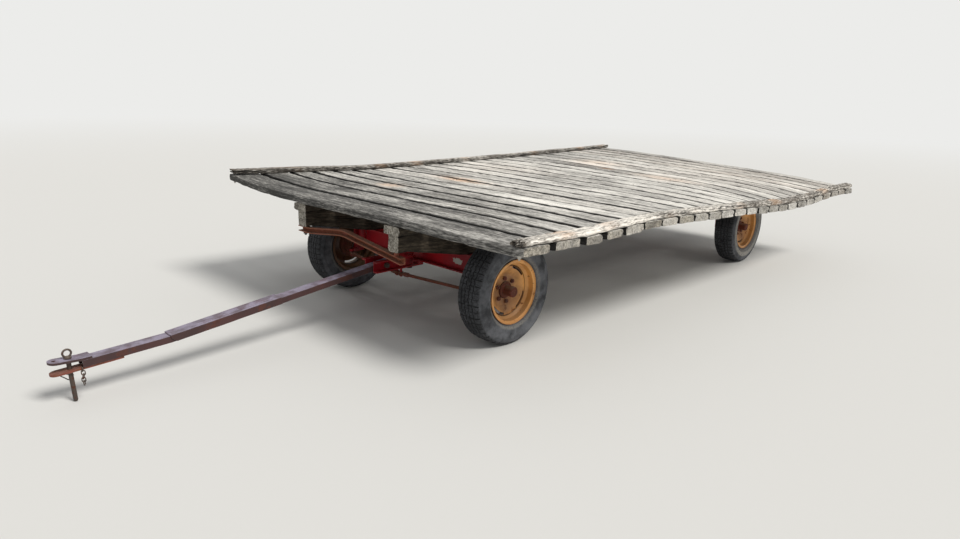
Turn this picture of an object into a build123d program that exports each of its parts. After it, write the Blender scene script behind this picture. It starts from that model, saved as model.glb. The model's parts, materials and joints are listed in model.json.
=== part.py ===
"""Four-wheel flat hay wagon with a plank deck, steered by its tongue.

Millimetres. X is forward, Y is to the wagon's left and Z is up, with the ground at
z = 0. The pieces are drawn with x = 0 at the front axle, and the finished pieces are
moved so that the origin is on the ground, half-way along the whole wagon.
"""
from build123d import *
import math
import os

# Wheels and axles
wheelbase = 3402.0
track = 1681.0
tyre_diameter = 690.0
tyre_width = 200.0
tread_width = 148.0
tread_crown = 5.0
tyre_wall = 13.0
shoulder_drop = 12.0
bead_width = 18.0
rim_seat_diameter = 381.0
rim_inside_width = 144.0
flange_height = 19.5
flange_lip = 7.0
rim_thickness = 4.0
well_depth = 22.0
well_width = 48.0
well_ramp = 15.0
disc_thickness = 5.0
disc_dish = 28.0
disc_skirt = 10.0
disc_slots = 4
slot_angle = 46.0
slot_width = 15.0
slot_margin = 6.0
slot_turn = -13.0
wheel_bolts = 6
bolt_circle = 154.0
stud_diameter = 14.0
nut_width = 24.0
nut_height = 11.0
hub_barrel_diameter = 108.0
hub_flange_diameter = 190.0
hub_flange_thickness = 12.0
hub_inner_length = 78.0
hub_barrel_length = 12.0
hub_neck_diameter = 66.0
hub_neck_length = 45.0
hub_cap_diameter = 70.0
hub_cap_length = 27.0
spindle_diameter = 44.0

# Axle beams, kingpins and steering
beam_bottom = 385.0
beam_top = 520.0
beam_width = 90.0
beam_flange = 8.0
beam_web = 8.0
kingpin_y = 660.0
kingpin_diameter = 32.0
head_margin = 7.0
head_height = 12.0
head_gap = 1.0
boss_diameter = 64.0
ear_diameter = 70.0
ear_thickness = 20.0
knuckle_plate_thickness = 20.0
knuckle_plate_width = 80.0
kingbolt_x = 85.0
kingbolt_diameter = 30.0
stud_distance = 90.0
stud_offset = 22.0
rod_level = 308.0
rod_diameter = 22.0
rod_eye_diameter = 36.0
rod_eye_height = 26.0
rod_stud_diameter = 16.0
rod_stud_tip = 8.0
rod_collar_length = 34.0
rod_collar_place = 50.0
arm_thickness = 18.0
arm_root_x = 20.0

# Yoke and tongue
yoke_height = 76.0
yoke_level = 400.0
yoke_back = 115.0
yoke_front = 430.0
yoke_flange = 33.0
yoke_web = 6.0
yoke_flange_thickness = 8.0
yoke_plate_length = 70.0
stud_plate_length = 56.0
stud_plate_thickness = 10.0
bracket_plate = 12.0
bracket_width = 64.0
bracket_foot = 180.0
lift_bolt_x = 330.0
lift_bolt_diameter = 20.0
tongue_slope = 7.1
tongue_bend = 4.1
tongue_width = 76.0
tongue_depth = 36.0
tongue_wall = 6.0
tongue_tail = 80.0
tongue_length = 1882.0
sleeve_start = 785.0
sleeve_length = 664.0
sleeve_depth = 42.0
sleeve_cut = 26.0
upper_strap_lap = 46.0
upper_strap_width = 75.0
lower_strap_lap = 191.0
lower_strap_width = 64.0
strap_reach = 142.0
strap_thickness = 12.0
pin_reach = 52.0
spare_hole_reach = 114.0
front_hole_diameter = 20.0
draw_pin_diameter = 22.0
pin_collar_margin = 7.0
pin_collar_height = 8.0
jaw_lift = 14.0
handle_ring = 19.0
handle_wire = 5.0

# Reach and hounds
reach_width = 76.0
reach_wall = 6.0
reach_front_length = 2350.0
reach_overlap = 420.0
clamp_length = 60.0
clamp_wall = 10.0
clamp_bolt = 20.0
clamp_bolt_height = 22.0
hound_width = 40.0
hound_wall = 4.0
hound_y = 430.0
front_hound_length = 890.0
rear_hound_setback = 250.0

# Timber
wide_planks = 2
wide_plank = 252.5
narrow_planks = 22
narrow_plank = 200.0
plank_thickness = 50.0
plank_gap = 8.0
deck_width = 3035.0
deck_front = 650.0
deck_level = 828.0
bend_start = 580.0
twist_start = -300.0
twist_slope = 0.05
sill_y = 500.0
sill_width = 100.0
sill_top = 723.0
sill_front = 628.0
sill_rear_setback = 40.0
sill_tip = 615.0
tip_landing = 75.0
cap_width = 150.0
cap_front = 642.0
cap_gap = 0.9
rail_width = 80.0
rail_height = 43.0
rail_gap = 0.9

# Arched front bar
arch_x = 600.0
arch_height = 40.0
arch_width = 40.0
arch_wall = 6.0
arch_rise = 48.0
arch_peak_y = -40.0
arch_seat = 424.0
arch_drop = 28.0
arch_half_length = 560.0
arch_bend_radius = 400.0
arch_spacer_diameter = 34.0

# Fits
seat_gap = 0.3
pin_gap = 0.3
open_pin_gap = 1.0
turn_gap = 5.0
fuse_depth = 1.0

# Planks from the front to the back: how many, and how wide
plank_sizes = ((wide_planks, wide_plank), (narrow_planks, narrow_plank))

# How far each wheel has rolled round, in degrees
wheel_turns = {"front_left": -22.0, "front_right": 3.0, "rear_left": 16.0, "rear_right": -35.0}

# Warp of the deck: x, height of the left plank ends and of the right ones over the middle
deck_warp = (
    (650.0, -3.0, 46.0),
    (0.0, -18.0, 30.0),
    (-600.0, -7.0, 6.0),
    (-1100.0, -25.0, 6.0),
    (-1950.0, -71.0, 15.0),
    (-2780.0, -122.0, 26.0),
    (-3400.0, -126.0, 36.0),
    (-3900.0, -105.0, 46.0),
    (-4439.0, -114.0, 58.0),
)

wheel_radius = tyre_diameter / 2
hub_neck_end = hub_barrel_length + hub_neck_length
half_track = track / 2
half_deck = deck_width / 2
beam_middle = (beam_bottom + beam_top) / 2
plank_gaps = wide_planks + narrow_planks - 1
deck_length = wide_planks * wide_plank + narrow_planks * narrow_plank + plank_gap * plank_gaps
deck_rear = deck_front - deck_length
slope = math.radians(tongue_slope)
tip_slope = math.radians(tongue_slope - tongue_bend)
bend_station = sleeve_start + sleeve_length
strap_end = tongue_length + strap_reach
pin_station = tongue_length + pin_reach
front_hole_station = tongue_length + spare_hole_reach


def block(x0, x1, y0, y1, z0, z1):
    """Box between two corners."""
    middle = Pos((x0 + x1) / 2, (y0 + y1) / 2, (z0 + z1) / 2)
    return middle * Box(x1 - x0, y1 - y0, z1 - z0)


def upright(x, y, diameter, z0, z1):
    """Vertical round bar."""
    return Pos(x, y, (z0 + z1) / 2) * Cylinder(diameter / 2, z1 - z0)


def crossbar(x, z, diameter, y0, y1):
    """Round bar along Y."""
    return Pos(x, (y0 + y1) / 2, z) * Rot(90, 0, 0) * Cylinder(diameter / 2, y1 - y0)


def prism(edges, plane, length):
    """Outline drawn in a plane, pushed along the plane's normal."""
    return extrude(plane * make_face(edges), amount=length, dir=plane.z_dir)


def polygon(points):
    """Closed outline of straight edges."""
    return Polyline(*points, close=True).edges()


def link_plate(start, end, width, z0, z1):
    """Flat link with round ends between two points in plan."""
    run = Vector(*end) - Vector(*start)
    middle = (Vector(*end) + Vector(*start)) / 2
    angle = math.degrees(math.atan2(run.Y, run.X))
    slot = Pos(middle.X, middle.Y, z0) * Rot(0, 0, angle) * SlotCenterToCenter(run.length, width)
    return extrude(slot, amount=z1 - z0, dir=(0, 0, 1))


def mirrored(part):
    """The same piece on the wagon's other side."""
    return mirror(part, about=Plane.XZ)


def on_side(part, side):
    """A piece drawn on the left, kept there or mirrored to the right."""
    return part if side > 0 else mirrored(part)


def both_sides(part):
    """A piece and its mirror image as two solids of one node."""
    return Compound(children=[part, mirrored(part)])


# Wheels are drawn about the Y axis, with +Y pointing away from the wagon


def tyre():
    """Tyre with its open inside, sitting on the bead seats."""
    seat = rim_seat_diameter / 2 + seat_gap
    bead = rim_inside_width / 2 - seat_gap
    toe = bead - bead_width
    bead_top = rim_seat_diameter / 2 + flange_height + turn_gap
    shoulder_r = wheel_radius - tread_crown
    side_r = (wheel_radius + seat) / 2
    half_tread = tread_width / 2
    half_width = tyre_width / 2
    # Half of the section from the crown round to the inner crown: radius, distance from the middle
    half = [
        (wheel_radius, half_tread / 2),
        (shoulder_r, half_tread),
        (shoulder_r - shoulder_drop, half_tread + tyre_wall),
        (side_r, half_width),
        (bead_top, bead),
        (seat, bead),
        (seat, toe),
        (side_r, half_width - tyre_wall),
        (shoulder_r - tyre_wall, half_tread - tyre_wall),
    ]
    other_half = [(radius, -place) for radius, place in reversed(half)]
    return revolve(make_face(polygon(half + other_half)), axis=Axis.Y)


def rim_half():
    """Half of the rim's section from the well out to the flange and back: radius, distance."""
    seat = rim_seat_diameter / 2
    inside = rim_inside_width / 2
    well = seat - well_depth
    half_well = well_width / 2
    top = seat + flange_height
    lip = top - flange_lip
    thick = rim_thickness
    return [
        (well, half_well),
        (seat, half_well + well_ramp),
        (seat, inside),
        (lip, inside),
        (top, inside + flange_lip),
        (top - thick, inside + flange_lip + thick),
        (lip - thick, inside + thick),
        (seat - thick, inside + thick),
        (seat - thick, half_well + well_ramp - 1),
        (well - thick, half_well - 1),
    ]


def wheel():
    """Drop-centre rim with a slotted disc."""
    half = rim_half()
    other_half = [(radius, -place) for radius, place in reversed(half)]
    rim = revolve(make_face(polygon(half + other_half)), axis=Axis.Y)
    well_inside = rim_seat_diameter / 2 - well_depth - rim_thickness
    lip = well_inside + fuse_depth / 2
    hole = hub_barrel_diameter / 2 + seat_gap
    slot_outer = well_inside - slot_margin
    slot_inner = slot_outer - slot_width
    seat_edge = hub_flange_diameter / 2 + slot_margin
    # Front face of the disc from its edge to the hub hole: radius, height over the hub flange
    face = [
        (lip, well_width / 2 - 2),
        (well_inside - 4, disc_dish),
        (slot_inner - 2, disc_dish),
        (seat_edge, 0),
        (hole, 0),
    ]
    back = [(radius, height - disc_thickness) for radius, height in reversed(face[2:])]
    skirt = well_inside - disc_thickness
    edge = [(skirt, disc_dish - disc_thickness), (skirt, -disc_skirt), (lip, -disc_skirt)]
    disc = revolve(make_face(polygon(face + back + edge)), axis=Axis.Y)
    for i in range(disc_slots):
        disc -= annular_slot(slot_inner, slot_outer, slot_turn + 360 / disc_slots * i)
    hole_diameter = stud_diameter + 2 * seat_gap
    bolt_hole = crossbar(bolt_circle / 2, 0, hole_diameter, -2 * disc_thickness, disc_thickness)
    for i in range(wheel_bolts):
        disc -= Rot(0, 360 / wheel_bolts * i, 0) * bolt_hole
    return rim + disc


def annular_slot(inner, outer, turn):
    """Cutter for one curved slot between two radii, centred on an angle."""
    half = slot_angle / 2

    def at(radius, angle):
        a = math.radians(angle)
        return (radius * math.cos(a), radius * math.sin(a))

    edges = [
        ThreePointArc(at(outer, turn - half), at(outer, turn), at(outer, turn + half)),
        Line(at(outer, turn + half), at(inner, turn + half)),
        ThreePointArc(at(inner, turn + half), at(inner, turn), at(inner, turn - half)),
        Line(at(inner, turn - half), at(outer, turn - half)),
    ]
    flat = Plane((0, disc_dish - 2 * disc_thickness, 0), x_dir=(1, 0, 0), z_dir=(0, 1, 0))
    return prism(edges, flat, 3 * disc_thickness)


def hub():
    """Turned hub with its flange, studs and nuts, a neck and a closed cap."""
    bore = spindle_diameter / 2 + pin_gap
    barrel = hub_barrel_diameter / 2
    back = -disc_thickness
    flange_back = back - hub_flange_thickness
    inner_end = flange_back - hub_inner_length
    neck = hub_neck_diameter / 2
    cap_r = hub_cap_diameter / 2
    end = hub_neck_end + hub_cap_length
    points = (
        (bore, inner_end),
        (barrel, inner_end),
        (barrel + 5, flange_back),
        (hub_flange_diameter / 2, flange_back),
        (hub_flange_diameter / 2, back),
        (barrel, back),
        (barrel, hub_barrel_length - 4),
        (barrel - 4, hub_barrel_length),
        (neck, hub_barrel_length),
        (neck, hub_neck_end),
        (cap_r, hub_neck_end),
        (cap_r, end - 5),
        (cap_r - 5, end),
        (0, end),
        (0, hub_neck_end - 4),
        (bore, hub_neck_end - 4),
    )
    body = revolve(make_face(polygon(points)), axis=Axis.Y)
    nut_face = Plane((0, 0, 0), x_dir=(1, 0, 0), z_dir=(0, 1, 0))
    for i in range(wheel_bolts):
        turn = Rot(0, 360 / wheel_bolts * i, 0)
        stud = crossbar(bolt_circle / 2, 0, stud_diameter, back - 2, nut_height + 6)
        hexagon = nut_face * Pos(bolt_circle / 2, 0) * RegularPolygon(nut_width / math.sqrt(3), 6)
        nut = extrude(hexagon, amount=nut_height, dir=(0, 1, 0))
        body += turn * (stud + nut)
    return body


# Running gear

hub_inner_end = -disc_thickness - hub_flange_thickness - hub_inner_length
spindle_end = half_track + hub_neck_end - 8
plate_out = kingpin_y + ear_diameter / 2 + 7 + knuckle_plate_thickness
plate_in = plate_out - knuckle_plate_thickness
boss_bottom = beam_bottom + 5
boss_top = beam_top - 5
lower_ear_top = boss_bottom - 2
upper_ear_bottom = boss_top + 2
beam_end = kingpin_y - ear_diameter / 2 - turn_gap - 2
arm_bottom = rod_level + rod_eye_height / 2 + turn_gap
web_face = beam_web / 2 + seat_gap
stud_tip = rod_level - rod_eye_height / 2 - rod_stud_tip
rod_vector = Vector(-kingbolt_x, kingpin_y)
yoke_stud = Vector(kingbolt_x + stud_distance, stud_offset)
knuckle_stud = yoke_stud + rod_vector


def beam_section(x):
    """I-section outline of an axle beam, standing in the XZ plane."""
    half = beam_width / 2
    web = beam_web / 2
    low = beam_bottom + beam_flange
    high = beam_top - beam_flange
    points = (
        (-half, beam_bottom), (half, beam_bottom), (half, low), (web, low), (web, high),
        (half, high), (half, beam_top), (-half, beam_top), (-half, high), (-web, high),
        (-web, low), (-half, low),
    )
    return polygon([(x + px, pz) for px, pz in points])


def axle_beam(x):
    """Straight beam between the beam ends."""
    side = Plane((0, beam_end, 0), x_dir=(1, 0, 0), z_dir=(0, -1, 0))
    return prism(beam_section(x), side, 2 * beam_end)


def front_axle_beam():
    """Front beam with a bored boss for the kingpin at each end."""
    beam = axle_beam(0)
    for side in (1, -1):
        y = side * kingpin_y
        inner = side * (beam_end - 10)
        tang = block(-14, 14, min(inner, y), max(inner, y), boss_bottom + 6, boss_top - 6)
        beam += tang + upright(0, y, boss_diameter, boss_bottom, boss_top)
    for side in (1, -1):
        bore = kingpin_diameter + 2 * seat_gap
        beam -= upright(0, side * kingpin_y, bore, boss_bottom - 1, boss_top + 1)
    return beam


def kingpin():
    """Headed kingpin with its nut below the knuckle."""
    top = upper_ear_bottom + ear_thickness
    bottom = lower_ear_top - ear_thickness
    wide = kingpin_diameter + 2 * head_margin
    top += head_gap
    bottom -= head_gap
    pin = upright(0, kingpin_y, kingpin_diameter, bottom, top)
    head = upright(0, kingpin_y, wide, top, top + head_height)
    nut = upright(0, kingpin_y, wide, bottom - head_height, bottom)
    return pin + head + nut


def knuckle():
    """Forked steering knuckle with its spindle and steering arm."""
    half = knuckle_plate_width / 2
    top = upper_ear_bottom + ear_thickness
    body = block(-half, half, plate_in, plate_out, wheel_radius - 30, top)
    for z in (upper_ear_bottom, lower_ear_top - ear_thickness):
        ear = block(-ear_diameter / 2, ear_diameter / 2, kingpin_y, plate_in, z, z + ear_thickness)
        body += ear + upright(0, kingpin_y, ear_diameter, z, z + ear_thickness)
    bore = kingpin_diameter + 2 * pin_gap
    body -= upright(0, kingpin_y, bore, lower_ear_top - ear_thickness - 1, top + 1)
    body += crossbar(0, wheel_radius, spindle_diameter + 30, plate_out, plate_out + 10)
    body += crossbar(0, wheel_radius, spindle_diameter, plate_out, spindle_end)
    root = (arm_root_x, (plate_in + plate_out) / 2)
    end = (knuckle_stud.X, knuckle_stud.Y)
    body += link_plate(root, end, rod_eye_diameter, arm_bottom, arm_bottom + arm_thickness)
    body += upright(*end, rod_stud_diameter, stud_tip, arm_bottom)
    return body


def tie_rod():
    """Tie rod with an eye at each end."""
    run = rod_vector.length
    low = -rod_eye_height / 2
    high = rod_eye_height / 2
    bar_length = run - rod_eye_diameter + 2 * rod_diameter / 5
    rod = Pos(run / 2, 0, 0) * Rot(0, 90, 0) * Cylinder(rod_diameter / 2, bar_length)
    for x in (rod_collar_place, run - rod_collar_place):
        rod += Pos(x, 0, 0) * Rot(0, 90, 0) * Cylinder(rod_diameter * 0.73, rod_collar_length)
    for x, gap in ((0, pin_gap), (run, open_pin_gap)):
        rod += upright(x, 0, rod_eye_diameter, low, high)
        rod -= upright(x, 0, rod_stud_diameter + 2 * gap, low - 1, high + 1)
    angle = math.degrees(math.atan2(rod_vector.Y, rod_vector.X))
    return Pos(yoke_stud.X, yoke_stud.Y, rod_level) * Rot(0, 0, angle) * rod


def rear_spindle():
    """Drop plate at the rear beam's end with the fixed spindle."""
    x = -wheelbase
    half = knuckle_plate_width / 2
    plate = block(x - half, x + half, beam_end + seat_gap, beam_end + 25, wheel_radius - 40, beam_top)
    end = half_track + hub_inner_end - 12
    boss = crossbar(x, wheel_radius, spindle_diameter + 30, beam_end + 25, end)
    shaft = crossbar(x, wheel_radius, spindle_diameter, end, spindle_end)
    return plate + boss + shaft


def yoke_bracket():
    """Upper tongue plate and lower hanger that hold the kingbolt."""
    nose = (kingbolt_x, 0)
    width = bracket_width
    yoke_top = yoke_level + yoke_height / 2
    yoke_bottom = yoke_level - yoke_height / 2
    bore = kingbolt_diameter + 2 * seat_gap
    upper_z = yoke_top + turn_gap
    upper = link_plate((40, 0), nose, width, upper_z, upper_z + bracket_plate)
    foot = bracket_foot / 2
    upper += block(web_face, beam_width / 2 - 1, -foot, foot, upper_z, upper_z + bracket_plate)
    lower_z = yoke_bottom - turn_gap - bracket_plate
    lower = link_plate((0, 0), nose, width, lower_z, lower_z + bracket_plate)
    lower += block(-20, 20, -width / 2, width / 2, lower_z, beam_bottom - seat_gap)
    upper -= upright(*nose, bore, upper_z - 1, upper_z + bracket_plate + 1)
    lower -= upright(*nose, bore, lower_z - 1, lower_z + bracket_plate + 1)
    return Compound(children=[upper, lower])


def kingbolt():
    """Vertical bolt that the yoke turns on."""
    top = yoke_level + yoke_height / 2 + turn_gap + bracket_plate + seat_gap
    bottom = yoke_level - yoke_height / 2 - turn_gap - bracket_plate - seat_gap
    wide = kingbolt_diameter + 2 * head_margin
    bolt = upright(kingbolt_x, 0, kingbolt_diameter, bottom, top)
    bolt += upright(kingbolt_x, 0, wide, top, top + head_height)
    return bolt + upright(kingbolt_x, 0, wide, bottom - head_height, bottom)


def yoke():
    """Two outward channels joined to a sleeve round the kingbolt, with the rod studs."""
    z0 = yoke_level - yoke_height / 2
    z1 = yoke_level + yoke_height / 2
    inner = tongue_width / 2 + turn_gap
    outer = inner + yoke_flange + yoke_web
    flange = yoke_flange_thickness
    points = (
        (inner, z0), (outer, z0), (outer, z0 + flange), (inner + yoke_web, z0 + flange),
        (inner + yoke_web, z1 - flange), (outer, z1 - flange), (outer, z1), (inner, z1),
    )
    section = Plane((yoke_back, 0, 0), x_dir=(0, 1, 0), z_dir=(1, 0, 0))
    channel = prism(polygon(points), section, yoke_front - yoke_back)
    channel -= crossbar(lift_bolt_x, yoke_level, lift_bolt_diameter + 2 * seat_gap, 0, outer)
    body = channel + mirrored(channel)
    lap = inner + fuse_depth
    neck = kingbolt_diameter - 2
    for z in (z0, z1 - flange):
        body += block(yoke_back, yoke_back + yoke_plate_length, -lap, lap, z, z + flange)
        body += block(kingbolt_x, yoke_back + fuse_depth, -neck, neck, z, z + flange)
    sleeve_gap = turn_gap - 1
    body += upright(kingbolt_x, 0, kingbolt_diameter + 30, z0 - sleeve_gap, z1 + sleeve_gap)
    bore = kingbolt_diameter + 2 * pin_gap
    body -= upright(kingbolt_x, 0, bore, z0 - turn_gap, z1 + turn_gap)
    plate_z = z0 - stud_plate_thickness
    half = stud_plate_length / 2
    body += block(yoke_stud.X - half, yoke_stud.X + half, -lap, lap, plate_z, z0 + fuse_depth)
    for side in (1, -1):
        body += upright(yoke_stud.X, side * stud_offset, rod_stud_diameter, stud_tip, plate_z)
    return body


def lift_bolt():
    """Cross bolt that the tongue lifts on."""
    face = tongue_width / 2 + turn_gap + yoke_web + seat_gap
    bolt = crossbar(lift_bolt_x, yoke_level, lift_bolt_diameter, -face, face)
    for y in (face, -face - head_height):
        bolt += crossbar(lift_bolt_x, yoke_level, lift_bolt_diameter + 2 * head_margin, y, y + head_height)
    return bolt


# The tongue is drawn along X from the lift bolt, then sloped down to the front. Its front
# stretch is bent up a little where the sleeve ends, and stations are lengths along it.

tongue_top = tongue_depth / 2
strap_low = tongue_top + seat_gap
strap_incline = math.atan(jaw_lift / strap_reach)
bend_level = yoke_level - bend_station * math.sin(slope)


def on_tongue(part):
    """Place a piece on the tongue's rear stretch."""
    return Pos(lift_bolt_x, 0, yoke_level) * Rot(0, tongue_slope, 0) * part


def on_tip(part):
    """Place a piece on the tongue's front stretch, in front of its bend."""
    bend = Pos(bend_station, 0, 0) * Rot(0, -tongue_bend, 0) * Pos(-bend_station, 0, 0)
    return on_tongue(bend * part)


def side_plane(y):
    """Plane of a side view, with its normal pointing to the right side."""
    return Plane((0, y, 0), x_dir=(1, 0, 0), z_dir=(0, -1, 0))


def bent_outline(start, end, low, high):
    """Side outline of the bent tongue between two stations and two heights over its middle line."""
    turn = math.radians(tongue_bend)

    def at_bend(height):
        return (bend_station - height * math.tan(turn / 2), height)

    def at_end(height):
        run = end - bend_station
        x = bend_station + run * math.cos(turn) - height * math.sin(turn)
        return (x, run * math.sin(turn) + height * math.cos(turn))

    return polygon([(start, low), at_bend(low), at_end(low), at_end(high), at_bend(high), (start, high)])


def tongue_bar():
    """Long bent channel, open below, from the yoke to the hitch straps."""
    half = tongue_width / 2
    inside = half - tongue_wall
    shell = bent_outline(-tongue_tail, tongue_length, -tongue_top, tongue_top)
    hollow = bent_outline(-tongue_tail - 1, tongue_length + 1, -tongue_top - 1, tongue_top - tongue_wall)
    bar = prism(shell, side_plane(half), tongue_width) - prism(hollow, side_plane(inside), 2 * inside)
    bore = lift_bolt_diameter + 2 * pin_gap
    return on_tongue(bar - crossbar(0, 0, bore, -tongue_width, tongue_width))


def tongue_sleeve():
    """Channel laid over the middle of the tongue, its front lower corners cut off."""
    inside = tongue_width / 2 + seat_gap
    half = inside + tongue_wall
    top = strap_low + tongue_wall
    low = top - sleeve_depth
    outline = polygon([
        (sleeve_start, low), (bend_station - sleeve_cut, low), (bend_station, low + sleeve_cut),
        (bend_station, top), (sleeve_start, top),
    ])
    shell = prism(outline, side_plane(half), 2 * half)
    return on_tongue(shell - block(sleeve_start - 1, bend_station + 1, -inside, inside, low - 1, strap_low))


def rounded_strap(start, end, width):
    """Flat strap outline with a round front end, in plan."""
    half = width / 2
    nose = end - half
    return [
        Line((start, -half), (nose, -half)),
        ThreePointArc((nose, -half), (end, 0), (nose, half)),
        Line((nose, half), (start, half)),
        Line((start, half), (start, -half)),
    ]


def upper_strap_lift(station):
    """How far the upper strap is bent up at a station in front of the tongue's end."""
    return jaw_lift * max(0, station - tongue_length) / strap_reach


def hitch_strap_top():
    """Upper hitch strap, bent up a little, with the pin hole and a spare hole in front of it."""
    start = tongue_length - upper_strap_lap
    high = strap_low + strap_thickness
    outline = polygon([
        (start, strap_low), (tongue_length, strap_low), (strap_end, strap_low + jaw_lift),
        (strap_end, high + jaw_lift), (tongue_length, high), (start, high),
    ])
    bent = prism(outline, side_plane(upper_strap_width), 2 * upper_strap_width)
    plan = Plane((0, 0, strap_low - 1))
    form = prism(rounded_strap(start, strap_end, upper_strap_width), plan, jaw_lift + strap_thickness + 2)
    strap = bent & form
    strap -= upright(pin_station, 0, draw_pin_diameter + 4, strap_low - 1, high + jaw_lift + 1)
    middle = (strap_low + high) / 2 + upper_strap_lift(front_hole_station)
    square_on = Pos(front_hole_station, 0, middle) * Rot(0, -math.degrees(strap_incline), 0)
    return on_tip(strap - square_on * Cylinder(front_hole_diameter / 2, 3 * strap_thickness))


def hitch_strap_bottom():
    """Straight lower hitch strap."""
    low = -strap_low - strap_thickness
    outline = rounded_strap(tongue_length - lower_strap_lap, strap_end, lower_strap_width)
    strap = prism(outline, Plane((0, 0, low)), strap_thickness)
    return on_tip(strap - upright(pin_station, 0, draw_pin_diameter + 4, low - 1, 1 - strap_low))


def draw_pin():
    """Draw pin with a ring handle; its round end stands on the ground."""
    radius = draw_pin_diameter / 2
    wide = radius + pin_collar_margin
    fall = (pin_station - bend_station) * math.sin(tip_slope)
    end = (radius - bend_level + fall) / math.cos(tip_slope)
    collar = strap_low + strap_thickness + upper_strap_lift(pin_station + wide) + seat_gap
    ring = collar + pin_collar_height + handle_ring
    pin = upright(pin_station, 0, draw_pin_diameter, end, collar + fuse_depth)
    pin += Pos(pin_station, 0, end) * Sphere(radius)
    pin += upright(pin_station, 0, 2 * wide, collar, collar + pin_collar_height)
    pin += Pos(pin_station, 0, ring) * Rot(90, 0, 0) * Torus(handle_ring, handle_wire)
    return on_tip(pin)


# Reach and hounds


def square_tube(x0, x1, width, wall):
    """Square tube along X at the middle of the beams."""
    half = width / 2
    tube = block(x0, x1, -half, half, beam_middle - half, beam_middle + half)
    hole = half - wall
    return tube - block(x0 - 1, x1 + 1, -hole, hole, beam_middle - hole, beam_middle + hole)


reach_joint = -reach_front_length
inner_reach_width = reach_width - 2 * reach_wall - 2 * seat_gap


def reach_front():
    """Outer reach tube, fixed to the front beam."""
    return square_tube(reach_joint, -web_face, reach_width, reach_wall)


def reach_rear():
    """Inner reach tube, fixed to the rear beam and slid into the outer one."""
    return square_tube(-wheelbase + web_face, reach_joint + reach_overlap, inner_reach_width, reach_wall)


def reach_clamp():
    """Collar at the tubes' joint with its set bolt on top."""
    half = reach_width / 2
    outer = half + clamp_wall
    low = beam_middle - outer
    high = beam_middle + outer
    x0 = reach_joint - clamp_wall
    x1 = x0 + clamp_length
    lip = reach_joint - fuse_depth
    fit = half + seat_gap
    collar = block(x0, x1, -outer, outer, low, high)
    collar -= block(lip, x1 + 1, -fit, fit, beam_middle - fit, beam_middle + fit)
    small = inner_reach_width / 2 + seat_gap
    collar -= block(x0 - 1, lip + 1, -small, small, beam_middle - small, beam_middle + small)
    return collar + upright((x0 + x1) / 2, 0, clamp_bolt, high - fuse_depth, high + clamp_bolt_height)


def hound(beam_x, reach_x, reach_half):
    """Diagonal square tube from a beam's web to the side of the reach."""
    half = hound_width / 2

    def strip(inset, over):
        way = 1 if reach_x > beam_x else -1
        y0 = hound_y - half + inset
        y1 = hound_y + half - inset
        reach_side = reach_half + seat_gap
        near = beam_x - way * over
        skew = (hound_y - reach_side) / abs(reach_x - beam_x)
        foot = (half - inset) / skew
        lean = over / skew
        return polygon([
            (near, y0 + over * skew), (near, y1 + over * skew),
            (reach_x + way * (foot + lean), reach_side - over),
            (reach_x - way * (foot - lean), reach_side - over),
        ])

    low = Plane((0, 0, beam_middle - half))
    hollow = Plane((0, 0, beam_middle - half + hound_wall))
    tube = prism(strip(0, 0), low, hound_width)
    return tube - prism(strip(hound_wall, 20), hollow, hound_width - 2 * hound_wall)


def front_hounds():
    """Two braces behind the front beam."""
    return both_sides(hound(-web_face, -front_hound_length, reach_width / 2))


def rear_hounds():
    """Two braces in front of the rear beam."""
    rear = -wheelbase + web_face
    return both_sides(hound(rear, reach_joint - rear_hound_setback, inner_reach_width / 2))


# Timber deck


def sill():
    """Left sill, its underside tapered up from the front beam to a short flat tip."""
    low = beam_top + seat_gap
    rear = deck_rear + sill_rear_setback
    outline = polygon([
        (rear, low), (beam_width / 2 + 20, low), (sill_front - tip_landing, sill_tip),
        (sill_front, sill_tip), (sill_front, sill_top), (rear, sill_top),
    ])
    return prism(outline, side_plane(sill_y + sill_width / 2), sill_width)


def tilt_at(x):
    """How steeply the planks' middles fall to the left, at one place along the twisted deck."""
    return twist_slope * max(0, twist_start - x) / (twist_start - deck_rear)


def sill_cap(side):
    """Timber between a sill and the planks, its top sawn to the twist of the deck."""
    inner = side * (sill_y - cap_width / 2)
    outer = side * (sill_y + cap_width / 2)
    low = sill_top + seat_gap
    top = deck_level - plank_thickness - cap_gap
    sections = []
    for x in (cap_front, twist_start, deck_rear + sill_rear_setback):
        tilt = tilt_at(x)
        points = ((inner, low), (outer, low), (outer, top - tilt * outer), (inner, top - tilt * inner))
        sections.append(Plane((x, 0, 0), x_dir=(0, 1, 0), z_dir=(1, 0, 0)) * make_face(polygon(points)))
    return loft(sections, ruled=True)


def warp_at(x):
    """Heights of the left and right plank ends over the middle, at one place along the deck."""
    for (x0, l0, r0), (x1, l1, r1) in zip(deck_warp, deck_warp[1:]):
        if x >= x1 - 1e-6 or x1 == deck_warp[-1][0]:
            share = (x0 - x) / (x0 - x1)
            return (l0 + (l1 - l0) * share, r0 + (r1 - r0) * share)


def plank_height(rise, end, distance):
    """Height of a plank's bent stretch over its middle: sideways slope, end height, distance out."""
    share = (distance - bend_start) / (half_deck - bend_start)
    return rise * distance + (end - rise * half_deck) * share ** 2


def plank_edge(level, tilt, left, right):
    """Long edge of a plank seen from the front: straight over the sills, a parabola at both ends."""
    middle = (bend_start + half_deck) / 2
    inner_right = (-bend_start, level + tilt * bend_start)
    inner_left = (bend_start, level - tilt * bend_start)
    return [
        Bezier(inner_right, (-middle, level + tilt * middle), (-half_deck, level + right)),
        Line(inner_right, inner_left),
        Bezier(inner_left, (middle, level - tilt * middle), (half_deck, level + left)),
    ]


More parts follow.
